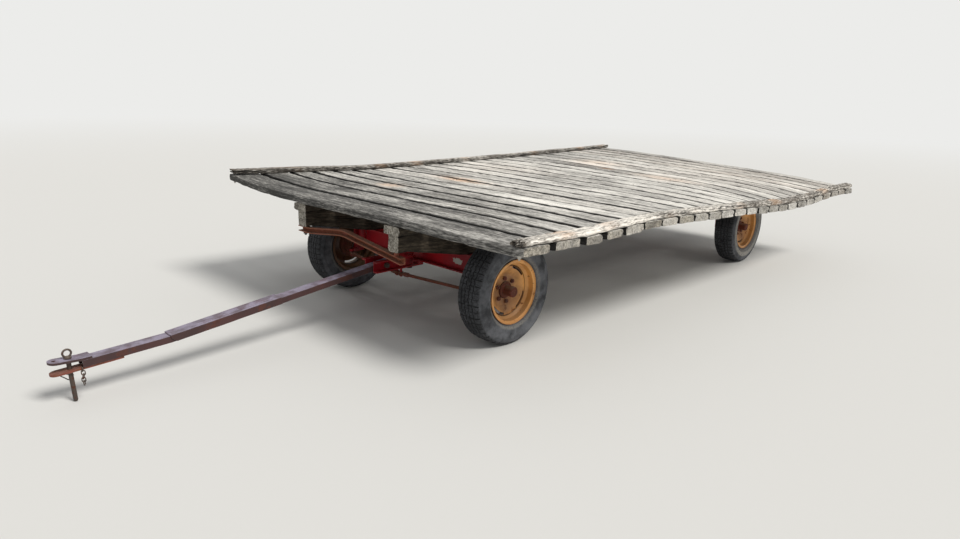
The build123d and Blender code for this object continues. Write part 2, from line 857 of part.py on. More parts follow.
def deck_planks():
    """All the cross planks, each bent to the warp of the deck."""
    planks = []
    front = deck_front
    for count, width in plank_sizes:
        for _ in range(count):
            back = front - width
            under_rails = [front, back] + [row[0] for row in deck_warp if back < row[0] < front]
            left = min(warp_at(x)[0] for x in under_rails)
            right = min(warp_at(x)[1] for x in under_rails)
            low = deck_level - plank_thickness
            tilt = tilt_at((front + back) / 2)
            edges = plank_edge(deck_level, tilt, left, right) + plank_edge(low, tilt, left, right)
            for end, rise in ((half_deck, left), (-half_deck, right)):
                edges.append(Line((end, deck_level + rise), (end, low + rise)))
            section = Plane((back, 0, 0), x_dir=(0, 1, 0), z_dir=(1, 0, 0))
            planks.append(prism(edges, section, width))
            front = back - plank_gap
    return Compound(children=planks)


def rail(side):
    """Edge rail along the plank ends, following the warp."""
    sections = []
    column = 0 if side > 0 else 1
    outer = half_deck
    inner = half_deck - rail_width
    for x in [row[0] for row in deck_warp[:-1]] + [deck_rear]:
        end = warp_at(x)[column]
        lift = deck_level + rail_gap
        z_out = lift + end
        z_in = lift + plank_height(-side * tilt_at(x), end, inner)
        points = (
            (side * inner, z_in), (side * outer, z_out),
            (side * outer, z_out + rail_height), (side * inner, z_in + rail_height),
        )
        plane = Plane((x, 0, 0), x_dir=(0, 1, 0), z_dir=(1, 0, 0))
        sections.append(plane * make_face(polygon(points)))
    return loft(sections, ruled=True)


def arch_bar():
    """Bent channel across the front: seated under the right sill's tip and hung under the left."""
    top = sill_tip - seat_gap
    fall = (arch_rise + arch_drop) / (arch_half_length - arch_peak_y)

    def curve(level, half):
        left_end = level + arch_rise - fall * (half - arch_peak_y)
        return FilletPolyline(
            (-half, level), (-arch_seat, level), (arch_peak_y, level + arch_rise), (half, left_end),
            radius=arch_bend_radius,
        ).edges()

    def band(low, high, half):
        drop = fall * (half - arch_peak_y) - arch_rise
        ends = [Line((-half, low), (-half, high)), Line((half, low - drop), (half, high - drop))]
        return list(curve(low, half)) + list(curve(high, half)) + ends

    back = Plane((arch_x - arch_width / 2, 0, 0), x_dir=(0, 1, 0), z_dir=(1, 0, 0))
    web = Plane((arch_x - arch_width / 2 + arch_wall, 0, 0), x_dir=(0, 1, 0), z_dir=(1, 0, 0))
    bar = prism(band(top - arch_height, top, arch_half_length), back, arch_width)
    hollow = band(top - arch_height + arch_wall, top - arch_wall, arch_half_length + 5)
    bar -= prism(hollow, web, arch_width)
    bar_top = top + arch_rise - fall * (sill_y + arch_spacer_diameter / 2 - arch_peak_y)
    return bar + upright(arch_x, sill_y, arch_spacer_diameter, bar_top - arch_wall / 2, top)


def wheel_at(part, x, side, rolled):
    """Place a wheel piece on one spindle, rolled round by some degrees."""
    turn = 0 if side > 0 else 180
    return Pos(x, side * half_track, wheel_radius) * Rot(0, 0, turn) * Rot(0, rolled, 0) * part


def build_nodes():
    """Every node of the wagon by name."""
    nodes = {
        "front_axle_beam": front_axle_beam(),
        "rear_axle_beam": axle_beam(-wheelbase),
        "kingpins": both_sides(kingpin()),
        "rear_spindles": both_sides(rear_spindle()),
        "yoke_bracket": yoke_bracket(),
        "kingbolt": kingbolt(),
        "yoke": yoke(),
        "lift_bolt": lift_bolt(),
        "tongue_bar": tongue_bar(),
        "tongue_sleeve": tongue_sleeve(),
        "hitch_strap_top": hitch_strap_top(),
        "hitch_strap_bottom": hitch_strap_bottom(),
        "draw_pin": draw_pin(),
        "reach_front": reach_front(),
        "reach_rear": reach_rear(),
        "reach_clamp": reach_clamp(),
        "front_hounds": front_hounds(),
        "rear_hounds": rear_hounds(),
        "deck_planks": deck_planks(),
        "arch_bar": arch_bar(),
    }
    for name, side in (("left", 1), ("right", -1)):
        nodes["knuckle_" + name] = on_side(knuckle(), side)
        nodes["tie_rod_" + name] = on_side(tie_rod(), side)
        nodes["sill_" + name] = on_side(sill(), side)
        nodes["sill_cap_" + name] = sill_cap(side)
        nodes["rail_" + name] = rail(side)
        for axle, x in (("front", 0.0), ("rear", -wheelbase)):
            place = axle + "_" + name
            rolled = wheel_turns[place]
            nodes["tyre_" + place] = wheel_at(tyre(), x, side, rolled)
            nodes["wheel_" + place] = wheel_at(wheel(), x, side, rolled)
            nodes["hub_" + place] = wheel_at(hub(), x, side, rolled)
    return nodes


def front_reach():
    """Forward end of the wagon: the upper strap's nose, at its top face."""
    top = strap_low + strap_thickness + jaw_lift
    rear = lift_bolt_x + bend_station * math.cos(slope)
    return rear + (strap_end - bend_station) * math.cos(tip_slope) + top * math.sin(tip_slope)


os.makedirs("parts", exist_ok=True)
origin = Pos(-(front_reach() + deck_rear) / 2, 0, 0)
for node, part in build_nodes().items():
    export_step(origin * part, "parts/" + node + ".step")
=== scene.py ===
"""Looks of a four-wheel flat hay wagon with a weathered, warped plank deck.

Metres. X is forward, Y is to the wagon's left and Z is up, with the ground at z = 0. Places come from
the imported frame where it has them, and the main other sizes are named fields of the class that uses them.
"""

from __future__ import annotations

import json
import logging
import math
import random
from collections.abc import Iterable, Mapping, Sequence
from dataclasses import dataclass, field
from enum import Enum
from typing import Any

import bmesh
import bpy
import numpy as np
from bpy.types import Material, Mesh, Node, NodeSocket, NodeTree, Object
from mathutils import Matrix, Vector, noise

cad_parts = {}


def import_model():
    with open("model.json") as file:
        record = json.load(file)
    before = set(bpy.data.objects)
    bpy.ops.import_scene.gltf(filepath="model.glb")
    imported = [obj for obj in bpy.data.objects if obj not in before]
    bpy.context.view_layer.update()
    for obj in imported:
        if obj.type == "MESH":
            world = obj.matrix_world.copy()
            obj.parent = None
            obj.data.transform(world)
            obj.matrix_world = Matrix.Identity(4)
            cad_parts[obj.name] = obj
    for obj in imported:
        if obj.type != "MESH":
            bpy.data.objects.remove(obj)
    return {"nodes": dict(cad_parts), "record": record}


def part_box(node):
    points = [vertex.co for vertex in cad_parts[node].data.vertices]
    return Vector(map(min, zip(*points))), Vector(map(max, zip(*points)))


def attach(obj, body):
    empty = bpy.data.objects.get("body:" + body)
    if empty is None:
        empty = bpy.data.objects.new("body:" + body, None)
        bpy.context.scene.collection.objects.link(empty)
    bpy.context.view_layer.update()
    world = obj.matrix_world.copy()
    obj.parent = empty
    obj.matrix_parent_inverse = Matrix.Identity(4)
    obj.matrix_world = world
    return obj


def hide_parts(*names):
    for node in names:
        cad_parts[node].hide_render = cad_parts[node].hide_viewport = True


log = logging.getLogger("hay_wagon")

Point = Sequence[float]
Pair = tuple[float, float]
Triple = tuple[float, float, float]
Colour = tuple[float, float, float, float]
Values = Mapping[str, np.ndarray]

WHEEL_TURNS = {"front_left": -22.0, "front_right": 3.0, "rear_left": 16.0, "rear_right": -35.0}


class Body(Enum):
    """Moving bodies of the wagon that a piece can ride on."""

    CHASSIS = "chassis"
    YOKE = "yoke_frame"
    TONGUE = "tongue"


class Slot(Enum):
    """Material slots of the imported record."""

    DECK = "deck_wood"
    RAIL = "rail_wood"
    SILL = "sill_wood"
    GEAR = "gear_red"
    TONGUE = "tongue_paint"
    BAR = "rusty_bar"
    HITCH = "hitch_rust"
    STEEL = "dark_steel"
    RIM = "wheel_paint"
    HUB = "hub_rust"
    TYRE = "tyre"


class Side(Enum):
    """Left and right side of the wagon, as the sign of Y."""

    LEFT = 1
    RIGHT = -1

    @property
    def word(self) -> str:
        """Name of the side in node names."""
        return self.name.lower()


# Mesh building


def number_of(word: str) -> int:
    """Number that is the same in every run for a word."""
    return sum((i + 1) * ord(letter) for i, letter in enumerate(word))


def bumps(points: np.ndarray, size: float, seed: float) -> np.ndarray:
    """Smooth noise at points.

    Args:
        points: Points, one in a row.
        size: Size of the bumps in metres.
        seed: Number that picks the pattern.

    Returns:
        A value from about -1 to 1 for each point.
    """
    shift = Vector((seed * 7.31, seed * 3.17, seed * 5.53))
    return np.array([noise.noise(Vector(p) / size + shift) for p in points])


def ring_faces(rings: int, around: int, closed: bool = False) -> list[tuple[int, ...]]:
    """Quads between rings of points.

    Args:
        rings: Number of rings.
        around: Points in each ring.
        closed: Whether the last ring joins the first.

    Returns:
        Point numbers of each quad.
    """
    made = []
    for i in range(rings if closed else rings - 1):
        here, there = i * around, (i + 1) % rings * around
        for j in range(around):
            beside = (j + 1) % around
            made.append((here + j, here + beside, there + beside, there + j))
    return made


def closed_faces(rings: int, around: int) -> list[tuple[int, ...]]:
    """Quads between rings of points, and a cap at each end."""
    count = rings * around
    return [*ring_faces(rings, around), tuple(range(around)), tuple(range(count - 1, count - around - 1, -1))]


def circle(around: int) -> np.ndarray:
    """Angles of equal steps round a circle."""
    return np.arange(around) * math.tau / around


def unit(rows: np.ndarray) -> np.ndarray:
    """Rows as vectors of length 1."""
    return rows / np.linalg.norm(rows, axis=1)[:, None]


def moved(points: np.ndarray, to_world: Matrix) -> np.ndarray:
    """Points carried by a matrix."""
    turn = np.array(to_world)
    return points @ turn[:3, :3].T + turn[:3, 3]


def smooth_path(points: Sequence[Point], steps: int) -> np.ndarray:
    """Smooth line through points.

    Args:
        points: Points that the line passes.
        steps: Divisions between two neighbours.

    Returns:
        Points along the line.
    """
    knots = np.asarray(points, float)
    padded = np.vstack([2 * knots[0] - knots[1], knots, 2 * knots[-1] - knots[-2]])
    line = []
    for a, b, c, d in zip(padded, padded[1:], padded[2:], padded[3:]):
        square, cube = 2 * a - 5 * b + 4 * c - d, 3 * b - a - 3 * c + d
        for t in np.arange(steps) / steps:
            line.append(0.5 * (2 * b + (c - a) * t + square * t**2 + cube * t**3))
    line.append(knots[-1])
    return np.array(line)


def rounded_outline(corners: Sequence[Point], radius: float, steps: int) -> np.ndarray:
    """Closed outline with its corners rounded.

    Args:
        corners: Corners in order.
        radius: How far along each side a corner's curve may start.
        steps: Divisions of each corner's curve.

    Returns:
        Points round the outline.
    """
    knots = np.asarray(corners, float)
    line = []
    for before, corner, after in zip(np.roll(knots, 1, 0), knots, np.roll(knots, -1, 0)):
        sides = []
        for other in (before, after):
            run = other - corner
            length = np.linalg.norm(run)
            sides.append(corner + run / length * min(radius, 0.45 * length))
        for t in np.arange(steps + 1) / steps:
            line.append((1 - t) ** 2 * sides[0] + 2 * t * (1 - t) * corner + t**2 * sides[1])
    return np.array(line)


@dataclass
class Shape:
    """A mesh that is being built, with values for each point that its finish reads."""

    points: list[np.ndarray] = field(default_factory=list)
    faces: list[tuple[int, ...]] = field(default_factory=list)
    values: dict[str, list[np.ndarray]] = field(default_factory=dict)
    count: int = 0

    def add(self, points: np.ndarray, faces: Iterable[Sequence[int]], values: Values | None = None) -> None:
        """Add points and faces.

        Args:
            points: New points, one in a row.
            faces: Faces, as numbers of the new points.
            values: Named values, one for each new point.
        """
        for name, value in (values or {}).items():
            self.values.setdefault(name, []).append(np.asarray(value, float))
        self.points.append(np.asarray(points, float))
        self.faces += [tuple(self.count + i for i in face) for face in faces]
        self.count += len(points)

    def tube(self, path: np.ndarray, radius: float | np.ndarray, around: int) -> None:
        """Add a round bar with closed ends along a path.

        Args:
            path: Points of its middle line.
            radius: Its radius, one for all or one for each point.
            around: Sides of the bar.
        """
        runs = unit(np.gradient(path, axis=0))
        radii = np.broadcast_to(np.asarray(radius, float), (len(path),))
        side = np.cross(runs[0], (0.0, 0.0, 1.0))
        if np.linalg.norm(side) < 0.1:
            side = np.cross(runs[0], (0.0, 1.0, 0.0))
        turns = circle(around)
        rings = []
        for middle, run, r in zip(path, runs, radii):
            side = side - run * side.dot(run)
            side /= np.linalg.norm(side)
            other = np.cross(run, side)
            rings.append(middle + r * (np.outer(np.cos(turns), side) + np.outer(np.sin(turns), other)))
        self.add(np.vstack(rings), closed_faces(len(path), around))

    def lathe(self, outline: np.ndarray, around: int, to_world: Matrix) -> None:
        """Add a turned ring about the Y axis from a closed outline.

        Args:
            outline: Radius and height along the axis, one point in a row.
            around: Divisions round the axis.
            to_world: Where the turned ring goes.
        """
        r, y = outline.T
        rings = [np.column_stack([r * math.cos(angle), y, r * math.sin(angle)]) for angle in circle(around)]
        self.add(moved(np.vstack(rings), to_world), ring_faces(around, len(outline), closed=True))

    def stack(
        self, rows: Sequence[tuple[Any, Any]], around: int, base: Point, axis: Point, bottom: bool
    ) -> None:
        """Add level rings one over the other, closed at the top.

        Args:
            rows: Radius and height of each ring, one for all or one for each point.
            around: Points in each ring.
            base: Middle of the base.
            axis: Way it stands.
            bottom: Whether its base is closed too.
        """
        turns = circle(around)
        rings = []
        for radius, level in rows:
            wide, up = np.broadcast_to(radius, turns.shape), np.broadcast_to(level, turns.shape)
            rings.append(np.column_stack([wide * np.cos(turns), wide * np.sin(turns), up]))
        turn = Vector(axis).to_track_quat("Z", "X").to_matrix().to_4x4()
        faces = closed_faces(len(rings), around)
        if not bottom:
            del faces[-2]
        self.add(moved(np.vstack(rings), Matrix.Translation(Vector(base)) @ turn), faces)

    def hexagon(self, base: Point, axis: Point, width: float, height: float) -> None:
        """Add a nut or bolt head with chamfered corners.

        Args:
            base: Middle of its base.
            axis: Way it stands.
            width: Width over its flats.
            height: Height of its top over its base.
        """
        around = 48
        flat = width / 2
        corner = flat / np.cos((circle(around) + math.pi / 6) % (math.pi / 3) - math.pi / 6)
        dip = (corner - flat) * 0.6
        rows = ((corner, 0.0), (corner, height - dip), (0.93 * flat, height), (0.3 * flat, height))
        self.stack(rows, around, base, axis, bottom=True)

    def dome(self, base: Point, axis: Point, radius: float, height: float) -> None:
        """Add a round nail or rivet head that goes down into the wood."""
        shares = ((1.0, -1.0), (1.0, 0.3), (0.75, 0.8), (0.3, 1.0))
        self.stack([(wide * radius, up * height) for wide, up in shares], 12, base, axis, bottom=False)

    def mesh(self, name: str) -> Mesh:
        """Make the mesh.

        Args:
            name: Name of the mesh.

        Returns:
            The mesh with outward faces and its point values.
        """
        made = bpy.data.meshes.new(name)
        made.from_pydata(np.vstack(self.points).tolist(), [], self.faces)
        edit = bmesh.new()
        edit.from_mesh(made)
        bmesh.ops.recalc_face_normals(edit, faces=edit.faces)
        edit.to_mesh(made)
        edit.free()
        for key, parts in self.values.items():
            give_values(made, key, np.concatenate(parts))
        return made


def give_values(mesh: Mesh, name: str, values: np.ndarray) -> None:
    """Store one number or one vector for each point of a mesh.

    Args:
        mesh: The mesh.
        name: Name that the finish reads.
        values: The values in the order of the points.
    """
    vector = values.ndim == 2
    kept = mesh.attributes.new(name, "FLOAT_VECTOR" if vector else "FLOAT", "POINT")
    flat = np.ascontiguousarray(values, dtype=np.float32).ravel()
    kept.data.foreach_set("vector" if vector else "value", flat)


def link_object(name: str, data: Any) -> Object:
    """Put a mesh, a light or a camera into the scene.

    Args:
        name: Name of the object.
        data: The mesh, light or camera.

    Returns:
        The object.
    """
    made = bpy.data.objects.new(name, data)
    bpy.context.scene.collection.objects.link(made)
    return made


def middle_of(node: str) -> Vector:
    """Middle of a CAD node's box."""
    low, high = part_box(node)
    return (low + high) / 2


def finish_piece(
    name: str,
    form: Shape | Mesh,
    look: Material,
    body: str,
    nodes: Sequence[str] = (),
    sharp: float = 50.0,
) -> None:
    """Put a mesh into the scene as one piece of the wagon.

    Args:
        name: Name of the piece.
        form: Its shape or its mesh, in place.
        look: Its material.
        body: Body that it rides on.
        nodes: CAD nodes that it stands for.
        sharp: Angle in degrees from which an edge is drawn sharp.
    """
    mesh = form.mesh(name) if isinstance(form, Shape) else form
    mesh.shade_smooth()
    mesh.set_sharp_from_angle(angle=math.radians(sharp))
    mesh.materials.clear()
    mesh.materials.append(look)
    piece = link_object(name, mesh)
    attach(piece, body)
    if nodes:
        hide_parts(*nodes)
    log.info("%s: %d points, rides on %s", name, len(mesh.vertices), body)


# Shader building


class Graph:
    """Short way to add and link the nodes of one shader tree."""

    def __init__(self, tree: NodeTree) -> None:
        """Work on a tree."""
        self.tree = tree

    def node(self, kind: str, inputs: Mapping[Any, Any] | None = None, **settings: Any) -> Node:
        """Add a node.

        Args:
            kind: Its type without the leading words.
            inputs: Values or sockets for its inputs, by name or number.
            settings: Its properties.

        Returns:
            The node.
        """
        made = self.tree.nodes.new("ShaderNode" + kind)
        for key, value in settings.items():
            setattr(made, key, value)
        for key, value in (inputs or {}).items():
            self.feed(made.inputs[key], value)
        return made

    def feed(self, socket: NodeSocket, value: Any) -> None:
        """Link or set one input."""
        if isinstance(value, NodeSocket):
            self.tree.links.new(value, socket)
        else:
            socket.default_value = value

    def value(self, name: str) -> NodeSocket:
        """Number that the mesh keeps for each point."""
        return self.node("Attribute", attribute_name=name).outputs["Fac"]

    def place(self) -> NodeSocket:
        """Place on the piece that the mesh keeps for each point."""
        return self.node("Attribute", attribute_name="place").outputs["Vector"]

    def sums(self, operation: str, *numbers: Any, clamp: bool = False) -> NodeSocket:
        """Result of a Math node.

        Args:
            operation: What it does.
            numbers: Its numbers; those left out are 0.
            clamp: Whether the result stays between 0 and 1.

        Returns:
            The result.
        """
        given = dict(enumerate((*numbers, 0.0, 0.0)[:3]))
        made = self.node("Math", given, operation=operation)
        made.use_clamp = clamp
        return made.outputs[0]

    def times(self, a: Any, b: Any) -> NodeSocket:
        """Product of two numbers."""
        return self.sums("MULTIPLY", a, b)

    def scaled(self, a: Any, factor: Any, plus: Any) -> NodeSocket:
        """A number times a factor, plus another."""
        return self.sums("MULTIPLY_ADD", a, factor, plus)

    def less(self, a: Any, b: Any) -> NodeSocket:
        """First number less the second."""
        return self.sums("SUBTRACT", a, b)

    def apart(self, a: Any, b: Any) -> NodeSocket:
        """How far two numbers are apart."""
        return self.sums("ABSOLUTE", self.less(a, b))

    def length(self, vector: NodeSocket) -> NodeSocket:
        """Length of a vector."""
        return self.node("VectorMath", {0: vector}, operation="LENGTH").outputs["Value"]

    def stretch(self, vector: NodeSocket, factor: Point) -> NodeSocket:
        """Coordinates multiplied by a factor on each axis."""
        return self.node("VectorMath", {0: vector, 1: tuple(factor)}, operation="MULTIPLY").outputs[0]

    def noise(
        self, vector: NodeSocket, scale: Any, detail: float = 4.0, rough: float = 0.55, bend: float = 0.0
    ) -> NodeSocket:
        """Noise from 0 to 1."""
        inputs = {"Vector": vector, "Scale": scale, "Detail": detail, "Roughness": rough, "Distortion": bend}
        return self.node("TexNoise", inputs).outputs["Fac"]

    def ease(
        self, value: NodeSocket, low: float, high: float, start: float = 0.0, end: float = 1.0
    ) -> NodeSocket:
        """Smooth step of a value between two levels."""
        inputs = {"Value": value, "From Min": low, "From Max": high, "To Min": start, "To Max": end}
        return self.node("MapRange", inputs, interpolation_type="SMOOTHSTEP").outputs["Result"]

    def mix(self, share: Any, first: Any, second: Any) -> NodeSocket:
        """Mix of two colours.

        Args:
            share: Share of the second one.
            first: First colour.
            second: Second colour.

        Returns:
            The mix.
        """
        made = self.node("Mix", {0: share, 6: first, 7: second}, data_type="RGBA")
        made.clamp_factor = True
        return made.outputs[2]

    def bump(self, height: NodeSocket, depth: float) -> NodeSocket:
        """Normal from a height."""
        return self.node("Bump", {"Height": height, "Distance": depth, "Strength": 1.0}).outputs["Normal"]

    def group(self, tree: NodeTree, place: NodeSocket, **values: float) -> Any:
        """Outputs of a shared group.

        Args:
            tree: The group.
            place: Place on the piece.
            values: Its other inputs.

        Returns:
            The outputs, by name.
        """
        made = self.node("Group", node_tree=tree)
        for key, value in {"Place": place, **values}.items():
            self.feed(made.inputs[key], value)
        return made.outputs

    def cover(self, surface: Node, base: NodeSocket, rough: Any, shine: float, normal: NodeSocket) -> None:
        """Feed a surface shader.

        Args:
            surface: The shader.
            base: Its colour.
            rough: Its roughness.
            shine: Its specular level.
            normal: Its normal.
        """
        given = {"Base Color": base, "Roughness": rough, "Specular IOR Level": shine, "Normal": normal}
        for key, value in given.items():
            self.feed(surface.inputs[key], value)


def colour(red: float, green: float, blue: float) -> Colour:
    """Linear colour from the numbers of a display colour, 0 to 255."""
    made = []
    for part in (red, green, blue):
        share = part / 255
        made.append(share / 12.92 if share <= 0.04045 else ((share + 0.055) / 1.055) ** 2.4)
    return (made[0], made[1], made[2], 1.0)


class Group(Graph):
    """Node group that several finishes share, fed with a place on the piece."""

    def __init__(self, name: str, outputs: Sequence[str], **inputs: float) -> None:
        """Start the group.

        Args:
            name: Name of the group.
            outputs: Names of the numbers that it gives.
            inputs: Its other inputs, each with its usual value.
        """
        super().__init__(bpy.data.node_groups.new(name, "ShaderNodeTree"))
        face = self.tree.interface
        face.new_socket("Place", in_out="INPUT", socket_type="NodeSocketVector")
        for key, usual in inputs.items():
            made = face.new_socket(key, in_out="INPUT", socket_type="NodeSocketFloat")
            made.default_value = usual
        for key in outputs:
            face.new_socket(key, in_out="OUTPUT", socket_type="NodeSocketFloat")
        self.given = self.tree.nodes.new("NodeGroupInput").outputs
        self.ends = self.tree.nodes.new("NodeGroupOutput").inputs

    def give(self, **sockets: NodeSocket) -> NodeTree:
        """Link the group's outputs.

        Args:
            sockets: What each output gives, by name.

        Returns:
            The group's tree.
        """
        for key, socket in sockets.items():
            self.tree.links.new(socket, self.ends[key])
        return self.tree


class Effects:
    """Node groups that several finishes share, each built once."""

    def __init__(self) -> None:
        """Build every group."""
        self.grain = self._grain()
        self.rings = self._rings()
        self.wear = self._wear()
        self.rust = self._rust()
        self.dust = self._dust()

    def _grain(self) -> NodeTree:
        """Weathered grain along the first axis of the place."""
        g = Group("weathered_grain", ("Streak", "Broad", "Speck", "Crack", "Blotch", "Height"), Cracking=0.5)

        def drawn(along: float, across: float, *rest: float) -> NodeSocket:
            """Noise drawn out along the wood."""
            return g.noise(g.stretch(g.given["Place"], (along, across, across)), 1.0, *rest)

        fine = drawn(4.0, 80.0, 7.0, 0.62, 0.35)
        broad = drawn(1.9, 26.0, 4.0, 0.6, 0.5)
        speck = drawn(26.0, 130.0, 3.0, 0.6)
        thin = g.ease(g.apart(drawn(0.9, 24.0, 3.0, 0.5, 0.6), 0.5), 0.0, 0.014, 1.0, 0.0)
        parts = drawn(1.7, 9.0, 2.0)
        where = g.ease(g.sums("ADD", parts, g.times(g.given["Cracking"], 0.2)), 0.58, 0.66)
        crack = g.times(thin, where)
        blotch = drawn(2.4, 6.0, 5.0, 0.6, 0.4)
        body = g.scaled(speck, 0.25, g.scaled(fine, 0.7, g.times(broad, 0.5)))
        height = g.less(body, g.times(crack, 1.2))
        return g.give(Streak=fine, Broad=broad, Speck=speck, Crack=crack, Blotch=blotch, Height=height)

    def _rings(self) -> NodeTree:
        """Growth rings and drying splits on sawn ends, round the first axis of the place."""
        g = Group("end_rings", ("Ring", "Split"))
        flat = g.stretch(g.given["Place"], (0.0, 1.0, 1.0))
        wobble = g.noise(flat, 18.0, 3.0)
        reach = g.length(flat)
        ring = g.ease(g.sums("SINE", g.scaled(reach, 900.0, g.times(wobble, 9.0))), -0.7, 0.9)
        ways = g.node("SeparateXYZ", {0: flat}).outputs
        angle = g.sums("ARCTAN2", ways["Y"], ways["Z"])
        spokes = g.node("CombineXYZ", {"X": angle, "Y": g.times(reach, 1.5)}).outputs[0]
        split = g.ease(g.apart(g.noise(spokes, 6.0, 2.0), 0.5), 0.0, 0.02, 1.0, 0.0)
        return g.give(Ring=ring, Split=split)

    def _wear(self) -> NodeTree:
        """Worn corners, found by rounding the surface."""
        g = Group("edge_wear", ("Wear",), Reach=0.004)
        soft = g.node("Bevel", {"Radius": g.given["Reach"]}, samples=4).outputs["Normal"]
        plain = g.node("NewGeometry").outputs["Normal"]
        same = g.node("VectorMath", {0: soft, 1: plain}, operation="DOT_PRODUCT").outputs["Value"]
        edge = g.ease(same, 0.8, 0.98, 1.0, 0.0)
        broken = g.noise(g.given["Place"], 45.0, 5.0, 0.65)
        return g.give(Wear=g.times(edge, g.ease(broken, 0.4, 0.6)))

    def _rust(self) -> NodeTree:
        """Rust that eats through paint in patches."""
        g = Group("rust_patches", ("Patch", "Tone", "Height"), Amount=0.3, Scale=8.0)
        place = g.given["Place"]
        large = g.noise(place, g.given["Scale"], 8.0, 0.65)
        sound = g.less(0.78, g.times(g.given["Amount"], 0.5))
        patch = g.ease(g.less(large, sound), 0.0, 0.05)
        tone = g.noise(place, 55.0, 6.0, 0.7)
        pits = g.noise(place, 260.0, 4.0, 0.6)
        return g.give(Patch=patch, Tone=tone, Height=g.times(patch, pits))

    def _dust(self) -> NodeTree:
        """Dust that lies on what faces up."""
        g = Group("settled_dust", ("Dust",), Amount=0.5)
        up = g.node("SeparateXYZ", {0: g.node("NewGeometry").outputs["Normal"]}).outputs["Z"]
        patchy = g.ease(g.noise(g.given["Place"], 14.0, 5.0, 0.6), 0.35, 0.65, 0.35, 1.0)
        lying = g.times(g.ease(up, 0.3, 0.95), patchy)
        return g.give(Dust=g.times(lying, g.given["Amount"]))


@dataclass(frozen=True)
class Finish:
    """What every finish has: a name and a way to start its material."""

    name: str

    def start(self) -> tuple[Graph, Node, Material]:
        """Start the material.

        Returns:
            Its graph, its surface shader and the material.
        """
        made = bpy.data.materials.new(self.name)
        made.use_nodes = True
        return Graph(made.node_tree), made.node_tree.nodes["Principled BSDF"], made


@dataclass(frozen=True)
class WoodFinish(Finish):
    """Grey, cracked timber that has stood outside for years, with painted shade along its corners and on its
    shaded sides.
    """

    pale: Colour = colour(240, 237, 230)
    dark: Colour = colour(74, 73, 71)
    # near-black of real cracks, also used as painted shade along corners and on shaded sides
    crack_and_shade: Colour = colour(13, 12, 11)
    tan: Colour = colour(205, 166, 132)
    end: Colour = colour(188, 182, 168)
    end_dark: Colour = colour(92, 85, 74)
    cracking: float = 0.2
    speckle: float = 1.1
    streaks: float = 0.8
    edge_shade: float = 0.85
    relief: float = 0.004

    def material(self, effects: Effects) -> Material:
        """Build the material.

        Args:
            effects: The shared node groups.

        Returns:
            The material.
        """
        g, surface, made = self.start()
        place = g.place()
        grain = g.group(effects.grain, place, Cracking=self.cracking)
        rings = g.group(effects.rings, place)
        light = g.value("tone")
        weights = {"Streak": self.streaks, "Broad": 0.6, "Speck": self.speckle, "Blotch": 0.8}
        for key, weight in weights.items():
            light = g.scaled(g.less(grain[key], 0.5), weight, light)
        face = g.mix(g.ease(light, 0.0, 1.0), self.dark, self.pale)
        face = g.mix(g.times(g.value("tan"), g.ease(grain["Streak"], 0.3, 0.6)), face, self.tan)
        # painted shade along each timber's corners, so that the gaps between planks read dark
        face = g.mix(g.ease(g.value("edge"), 0.5, 0.9, 0.0, self.edge_shade), face, self.crack_and_shade)
        sawn = g.scaled(rings["Ring"], 0.35, g.ease(grain["Streak"], 0.35, 0.65, 0.0, 0.65))
        cap = g.mix(sawn, self.end_dark, self.end)
        cap = g.mix(g.ease(grain["Blotch"], 0.45, 0.7, 0.0, 0.6), cap, self.dark)
        cap = g.mix(g.times(rings["Split"], 0.8), cap, self.crack_and_shade)
        whole = g.mix(g.value("end"), face, cap)
        whole = g.mix(g.times(grain["Crack"], 0.85), whole, self.crack_and_shade)
        # painted shade on the faces that the timber marks as shaded
        whole = g.mix(g.times(g.value("side"), 0.94), whole, self.crack_and_shade)
        rough = g.ease(grain["Broad"], 0.2, 0.8, 0.95, 0.75)
        g.cover(surface, whole, rough, 0.25, g.bump(grain["Height"], self.relief))
        return made


@dataclass(frozen=True)
class MetalFinish(Finish):
    """Old paint or bare steel with rust, chips and dust."""

    paint: Colour = colour(150, 20, 25)
    faded: Colour = colour(120, 40, 38)
    rust: Colour = colour(92, 48, 30)
    rust_dark: Colour = colour(44, 24, 18)
    chip: Colour = colour(150, 140, 132)
    dust: Colour = colour(150, 138, 122)
    rust_amount: float = 0.35
    rust_scale: float = 7.0
    chip_amount: float = 0.5
    dust_amount: float = 0.35
    gloss: float = 0.45
    shine: float = 0.4
    relief: float = 0.0012
    own_place: bool = False

    def material(self, effects: Effects) -> Material:
        """Build the material.

        Args:
            effects: The shared node groups.

        Returns:
            The material.
        """
        g, surface, made = self.start()
        place = g.place() if self.own_place else g.node("TexCoord").outputs["Object"]
        rust = g.group(effects.rust, place, Amount=self.rust_amount, Scale=self.rust_scale)
        wear = g.group(effects.wear, place)
        dust = g.group(effects.dust, place, Amount=self.dust_amount)
        fade = g.ease(g.noise(place, 5.0, 5.0, 0.6), 0.35, 0.65)
        base = g.mix(fade, self.paint, self.faded)
        worn = g.mix(rust["Tone"], self.rust_dark, self.rust)
        base = g.mix(rust["Patch"], base, worn)
        base = g.mix(g.times(wear["Wear"], self.chip_amount), base, self.chip)
        base = self.marks(g, place, base)
        base = g.mix(dust["Dust"], base, self.dust)
        rough = g.scaled(rust["Patch"], 0.85 - self.gloss, self.gloss)
        rough = g.sums("MULTIPLY_ADD", dust["Dust"], 0.2, rough, clamp=True)
        g.cover(surface, base, rough, self.shine, g.bump(rust["Height"], self.relief))
        return made

    def marks(self, g: Graph, place: NodeSocket, base: NodeSocket) -> NodeSocket:
        """Colour after the marks of one kind of piece, none here."""
        return base


